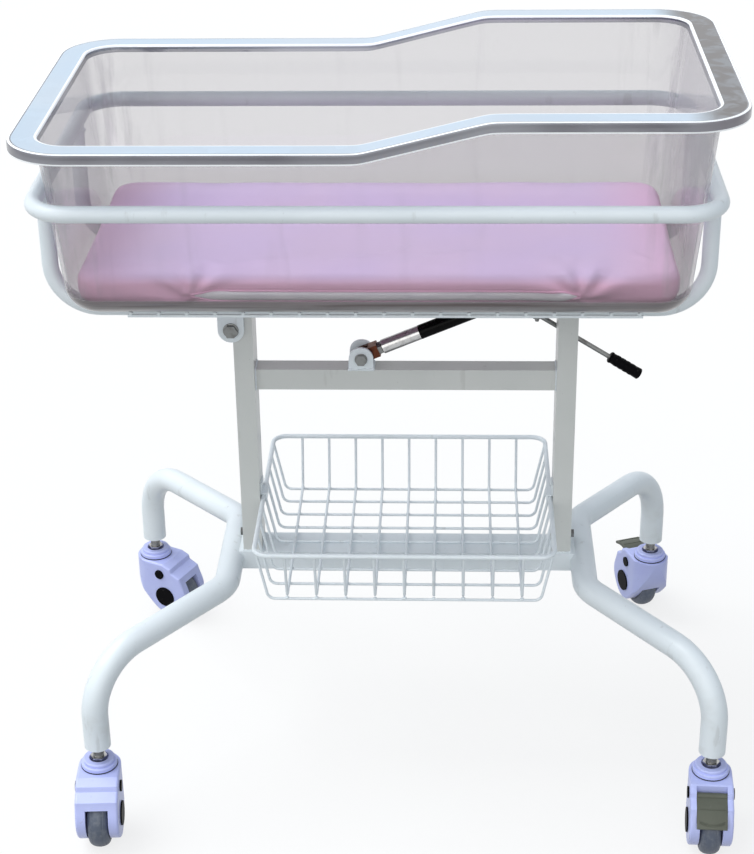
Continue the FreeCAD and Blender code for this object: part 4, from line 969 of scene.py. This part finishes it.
def cradle_seams():
    """Where the cradle's tubes, members and plates are welded."""
    seams = []
    for member in ("hinge_crossmember", "rest_crossmember", "spring_crossmember"):
        low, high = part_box(member)
        for y in (low.y, high.y):
            inward = 0.8 * MM if y < FRAME_Y else -0.8 * MM
            seams.append(box_loop(low, high, 1, y + inward))
    low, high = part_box("hinge_ears")
    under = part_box("hinge_crossmember")[0].z
    for y in (low.y, low.y + EAR_THICKNESS, high.y - EAR_THICKNESS, high.y):
        seams.append(([(low.x + 2 * MM, y, under), (high.x - 2 * MM, y, under)], False))
    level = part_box("cradle_ring")[0].z + 1 * MM
    around = spokes(Vector((0, 0, 1)), 28)
    for rail in ("front_rail", "rear_rail"):
        low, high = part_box(rail)
        for x in (low.x + RAIL_TUBE_HALF, high.x - RAIL_TUBE_HALF):
            centre = Vector((x, (low.y + high.y) / 2, level))
            seams.append(([centre + spoke * RAIL_SEAM_RADIUS for spoke in around], True))
    return seams


BASKET_PITCH_X, BASKET_PITCH_Y = 36 * MM, 35 * MM
BASKET_WIRE, RIM_WIRE = 3.6 * MM, 6 * MM
DECK_PITCH, DECK_SHIFT = 32 * MM, -20 * MM


def wire_crossings():
    """The basket's spot welds: where its floor wires cross, and where they end on the rim."""
    rim_low, rim_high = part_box("basket_rim")
    rim = (rim_low.z + rim_high.z) / 2
    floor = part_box("basket_lengthwise_wires")[0].z + BASKET_WIRE
    half_x = (rim_high.x - rim_low.x - RIM_WIRE) / 2
    half_y = (rim_high.y - rim_low.y - RIM_WIRE) / 2
    xs = [FRAME_X + BASKET_PITCH_X * k for k in range(-4, 5)]
    ys = [FRAME_Y + BASKET_PITCH_Y * k for k in range(-4, 5)]
    spots = [(x, y, floor) for x in xs for y in ys]
    spots += [(x, FRAME_Y + side * half_y, rim - 2 * MM) for x in xs for side in (-1, 1)]
    spots += [(FRAME_X + side * half_x, y, rim - 2 * MM) for y in ys for side in (-1, 1)]
    return spots


def deck_crossings():
    """Where the deck's wires lie on the two rails."""
    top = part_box("deck_wires")[0].z
    spots = []
    for rail in ("front_rail", "rear_rail"):
        y = middle_of(rail).y
        spots += [(FRAME_X + DECK_SHIFT + DECK_PITCH * k, y + side * 2.5 * MM, top + 0.3 * MM)
                  for k in range(-9, 10) for side in (-1, 1)]
    return spots


def make_welds():
    """Weld beads along the seams and spot welds where wires cross."""
    bead = {"Step": 2.1 * MM, "Length": 3.2 * MM, "Width": 3.4 * MM, "Uneven": 0.18}
    dot = {"Width": 5.2 * MM, "Height": 3.6 * MM, "Uneven": 0.15}
    basket = [([spot], False) for spot in wire_crossings()]
    deck = [([spot], False) for spot in deck_crossings()]
    for tree, name, body, lines, seed, sizes in (
            (BEADS, "frame_welds", "base_frame", frame_seams(), 5, bead),
            (BEADS, "cradle_welds", "cradle", cradle_seams(), 8, bead),
            (DOTS, "basket_spot_welds", "base_frame", basket, 11, dot),
            (DOTS, "deck_spot_welds", "cradle", deck, 12, dot)):
        tree.grown(name, path_mesh(name, *lines), body, "frame_paint", Seed=seed, **sizes)


# ---------------- bolts, grip and casters

def disc_profile(hole, rim, low, high, soften):
    """The section of a flat ring with softened outer edges."""
    return [(hole, low), (rim - soften, low), (rim, low + soften), (rim, high - soften),
            (rim - soften, high), (hole, high)]


WASHERS = (("hinge", "hinge_bolt", "hinge_ears", 9.6 * MM, "cradle"),
           ("spring", "spring_bolt", "spring_bracket", 7.8 * MM, "base_frame"))
WASHER_HOLE, WASHER_THICKNESS, WASHER_SOFT = 4 * MM, 1.6 * MM, 0.4 * MM


def make_washers():
    """Washers under the heads and nuts of the hinge bolt and the gas spring's lower bolt."""
    for name, bolt, carrier, rim, body in WASHERS:
        low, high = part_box(carrier)
        centre = middle_of(bolt)
        profile = disc_profile(WASHER_HOLE, rim, 0.0, WASHER_THICKNESS, WASHER_SOFT)
        for side, y, axis in (("front", low.y, (0, -1, 0)), ("rear", high.y, (0, 1, 0))):
            place = Vector((centre.x, y, centre.z))
            lathe("%s_washer_%s" % (name, side), body, "zinc", profile, place, axis, 40)


CASTER_TRAIL = 29.5 * MM
WHEEL_RADIUS = 37.5 * MM


def way_of(name):
    """The way a caster trails, as a share of x and of y."""
    heading = math.radians(HEADINGS[name])
    return math.cos(heading), math.sin(heading)


def stem_places():
    """Each caster's stem axis, from its wheel's place and the way it trails."""
    places = {}
    for name in HEADINGS:
        wheel = middle_of(name + "_tyre")
        way = way_of(name)
        places[name] = (wheel.x - CASTER_TRAIL * way[0], wheel.y - CASTER_TRAIL * way[1])
    return places


STEMS = stem_places()
THREAD_RISE = 14 * MM


def make_threads():
    """The thread on each caster's stem, between its nut and the leg."""
    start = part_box("leg_inserts")[0].z - THREAD_RISE
    base = path_mesh("stem_places", *[([(x, y, start)], False) for x, y in STEMS.values()])
    THREADS.grown("stem_threads", base, "base_frame", "zinc",
                  Radius=5.9 * MM, Rise=THREAD_RISE, Turns=8.0, Ridge=0.75 * MM)


# Half of a tyre's section: (radius, distance from the middle) in millimetres.
TYRE_HALF = ((26.0, 12.5), (30.0, 12.5), (30.6, 12.1), (32.0, 11.8), (33.4, 10.9), (34.8, 9.4),
             (35.9, 7.6), (36.3, 6.8), (36.1, 6.5), (36.3, 6.1), (36.6, 5.9), (37.1, 3.8),
             (37.4, 1.8), (37.5, 0.5))


def make_tyres():
    """Each tyre with its bead step, two fine grooves and the moulding line round its middle."""
    profile = [(radius * MM, side * MM) for radius, side in TYRE_HALF]
    profile += [(radius, -side) for radius, side in reversed(profile)]
    for name in HEADINGS:
        way = way_of(name)
        axle = (-way[1], way[0], 0)
        tyre = lathe(name + "_tread", name + "_wheel", "tread", profile,
                     middle_of(name + "_tyre"), axle, 96)
        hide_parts(name + "_tyre")


SHADE_RING_RADIUS, SHADE_RING_LIP = 22.4 * MM, 0.7 * MM


def make_collar_shade_rings():
    """A dark ring at the foot of each caster's collar: painted shade for the gap under the collar.
    """
    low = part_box("caster_collars")[0].z
    profile = [(SHADE_RING_RADIUS - SHADE_RING_LIP, -0.2 * MM), (SHADE_RING_RADIUS, 0.0), (SHADE_RING_RADIUS, 0.9 * MM),
               (SHADE_RING_RADIUS - SHADE_RING_LIP, 1.2 * MM)]
    for name, (x, y) in STEMS.items():
        lathe(name + "_collar_shade_ring", "base_frame", "black_plastic", profile,
              Vector((x, y, low)), (0, 0, 1), 48)


GRIP_SLOPE = 32.2
GRIP_HALF = 22.5 * MM
GRIP_RADIUS = 7.3 * MM
GRIP_ROUND = 2 * MM
GRIP_CHAMFER = 1.2 * MM
GRIP_RINGS, GRIP_RING_STEP = 4, 7 * MM
AXIS_GAP = 0.05 * MM


def make_grip():
    """The lever's grip: a push-on sleeve with a collar, four shallow rings and a domed end."""
    radius, half = GRIP_RADIUS, GRIP_HALF
    profile = [(AXIS_GAP, -half), (radius - GRIP_CHAMFER, -half), (radius, -half + GRIP_CHAMFER),
               (radius, -half + 3 * MM), (radius - 0.7 * MM, -half + 3.8 * MM)]
    for ring in range(GRIP_RINGS):
        start = -half + 8 * MM + ring * GRIP_RING_STEP
        profile += [(radius - 0.5 * MM, start), (radius - 0.1 * MM, start + 1.6 * MM),
                    (radius - 0.1 * MM, start + 4.6 * MM), (radius - 0.5 * MM, start + 6.2 * MM)]
    for step in range(1, 6):
        angle = math.radians(15 * step)
        profile.append((radius - GRIP_ROUND + GRIP_ROUND * math.cos(angle),
                        half - GRIP_ROUND + GRIP_ROUND * math.sin(angle)))
    profile.append((AXIS_GAP, half))
    slope = math.radians(GRIP_SLOPE)
    axis = (math.cos(slope), 0, -math.sin(slope))
    grip = lathe("grip_sleeve", "release_lever", "black_plastic", profile,
                 middle_of("lever_grip"), axis, 40)
    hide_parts("lever_grip")


PEDAL_SLOPE = {"fr": 0.0, "rr": 32.0}
PEDAL_FORWARD, PEDAL_HEIGHT = 36 * MM, 82 * MM
PEDAL_REACH = 6.7 * MM
RIB_HALF = 15 * MM
# Each rib across a pedal: its angle about the wheel and how far it arches, in degrees.
PEDAL_RIBS = ((37, 5), (39.5, 5), (58, 0))


def pedal_point(name, radius, angle):
    """A point on the pedal's round plate, by radius and angle about the wheel, and the way
    across the pedal. The pedal turns about its own pin by its slope."""
    way = way_of(name)
    x, y = STEMS[name]
    forward = CASTER_TRAIL + radius * math.cos(angle)
    height = WHEEL_RADIUS + radius * math.sin(angle)
    turn = math.radians(PEDAL_SLOPE[name])
    ahead, above = forward - PEDAL_FORWARD, height - PEDAL_HEIGHT
    forward = PEDAL_FORWARD + ahead * math.cos(turn) - above * math.sin(turn)
    height = PEDAL_HEIGHT + ahead * math.sin(turn) + above * math.cos(turn)
    return (Vector((x + forward * way[0], y + forward * way[1], height)),
            Vector((-way[1], way[0], 0)))


def make_pedal_ribs():
    """Arched ribs across each brake pedal's tread, and a straight one where its lip begins."""
    for name in PEDAL_SLOPE:
        lines = []
        for angle, arch in PEDAL_RIBS:
            line = []
            for step in range(13):
                share = step / 6 - 1
                place = math.radians(angle - arch * (1 - share ** 2))
                middle, side = pedal_point(name, WHEEL_RADIUS + PEDAL_REACH, place)
                line.append(middle + side * share * RIB_HALF)
            lines.append((line, False))
        RODS.grown(name + "_pedal_ribs", path_mesh(name + "_rib_lines", *lines),
                   name + "_brake_pedal", "pedal_plastic", Radius=0.6 * MM, Sides=8)


# ---------------- stage, light and camera

CAMERA_PLACE = Vector((68.82, -2171.10, 1528.47)) * MM
CAMERA_YAW, CAMERA_PITCH, CAMERA_ROLL = -2.43, -26.94, -0.86
CAMERA_LENS = 81.74
CAMERA_SENSOR = 36.0


def make_camera():
    """A long lens in front of the part, turned by yaw, pitch and roll in degrees."""
    yaw, pitch, roll = (math.radians(turn) for turn in (CAMERA_YAW, CAMERA_PITCH, CAMERA_ROLL))
    sight = Vector((math.sin(yaw) * math.cos(pitch), math.cos(yaw) * math.cos(pitch),
                    math.sin(pitch)))
    level = Vector((math.cos(yaw), -math.sin(yaw), 0.0))
    rise = level.cross(sight)
    right = level * math.cos(roll) + rise * math.sin(roll)
    up = rise * math.cos(roll) - level * math.sin(roll)
    settings = bpy.data.cameras.new("camera")
    settings.lens = CAMERA_LENS
    settings.sensor_width = CAMERA_SENSOR
    settings.sensor_fit = "AUTO"
    settings.clip_end = 60
    camera = placed("camera", settings)
    turned = Matrix((right, up, -sight)).transposed()
    camera.matrix_world = Matrix.Translation(CAMERA_PLACE) @ turned.to_4x4()
    bpy.context.scene.camera = camera


FLOOR_HALF = 20.0
FLOOR_GLOW = 0.78


def straight_or_mirrored(graph):
    """1 where the background is seen straight, in a gloss or through something clear."""
    shares = [graph.node("ShaderNodeLightPath", output="Is %s Ray" % kind)
              for kind in ("Camera", "Glossy", "Transmission")]
    return shares[0].most(shares[1]).most(shares[2])


def make_stage():
    """A wide pale floor, nearly white to the lens, that throws back less light than that."""
    shape = bmesh.new()
    bmesh.ops.create_grid(shape, x_segments=1, y_segments=1, size=FLOOR_HALF)
    floor = placed("floor", mesh_from(shape, "floor"))
    f = Finish("floor_white")
    seen = straight_or_mirrored(f)
    grey = f.node("ShaderNodeBsdfDiffuse", inputs={"Color": (0.32, 0.32, 0.31, 1)})
    lit = f.node("ShaderNodeBsdfDiffuse", inputs={"Color": (0.97, 0.96, 0.95, 1)})
    paper = f.node("ShaderNodeEmission", inputs={"Color": (1, 1, 1, 1), "Strength": 1.0})
    white = f.blended(FLOOR_GLOW, lit, paper)
    floor.data.materials.append(f.finished(f.blended(seen, grey, white)))


# Each lamp: the way towards it, its strength, its spread in degrees and its colour.
SUNS = (("high_sun", (-0.55, 0.08, 1.0), 2.0, 45, (0.96, 0.99, 1.0)),
        ("front_softbox", (-0.2, -1.0, 0.4), 1.43, 80, (1.0, 0.98, 0.94)))
SKY_STRENGTH = 0.4


def make_light():
    """An even pale sky, a broad lamp high on the left and a soft one low in front."""
    world = bpy.data.worlds.new("studio")
    world.use_nodes = True
    bpy.context.scene.world = world
    g = Graph(world.node_tree)
    world.node_tree.nodes.clear()
    seen = straight_or_mirrored(g)
    sky = g.node("ShaderNodeBackground",
                 inputs={"Color": (0.78, 0.92, 1.06, 1), "Strength": SKY_STRENGTH})
    white = g.node("ShaderNodeBackground", inputs={"Color": (1, 1, 1, 1), "Strength": 1.0})
    chosen = g.node("ShaderNodeMixShader", inputs={0: seen, 1: sky, 2: white})
    output = world.node_tree.nodes.new("ShaderNodeOutputWorld")
    world.node_tree.links.new(chosen.socket, output.inputs["Surface"])
    for name, way, strength, spread, colour in SUNS:
        sun = bpy.data.lights.new(name, "SUN")
        sun.energy = strength
        sun.angle = math.radians(spread)
        sun.color = colour
        placed(name, sun).rotation_euler = Vector(way).to_track_quat("Z", "Y").to_euler()


def main():
    bpy.context.scene.view_settings.view_transform = "Standard"
    make_camera()
    make_stage()
    make_light()
    finish_frame()
    make_tub()
    make_mattress()
    make_welds()
    make_washers()
    make_threads()
    make_tyres()
    make_collar_shade_rings()
    make_grip()
    make_pedal_ribs()


main()
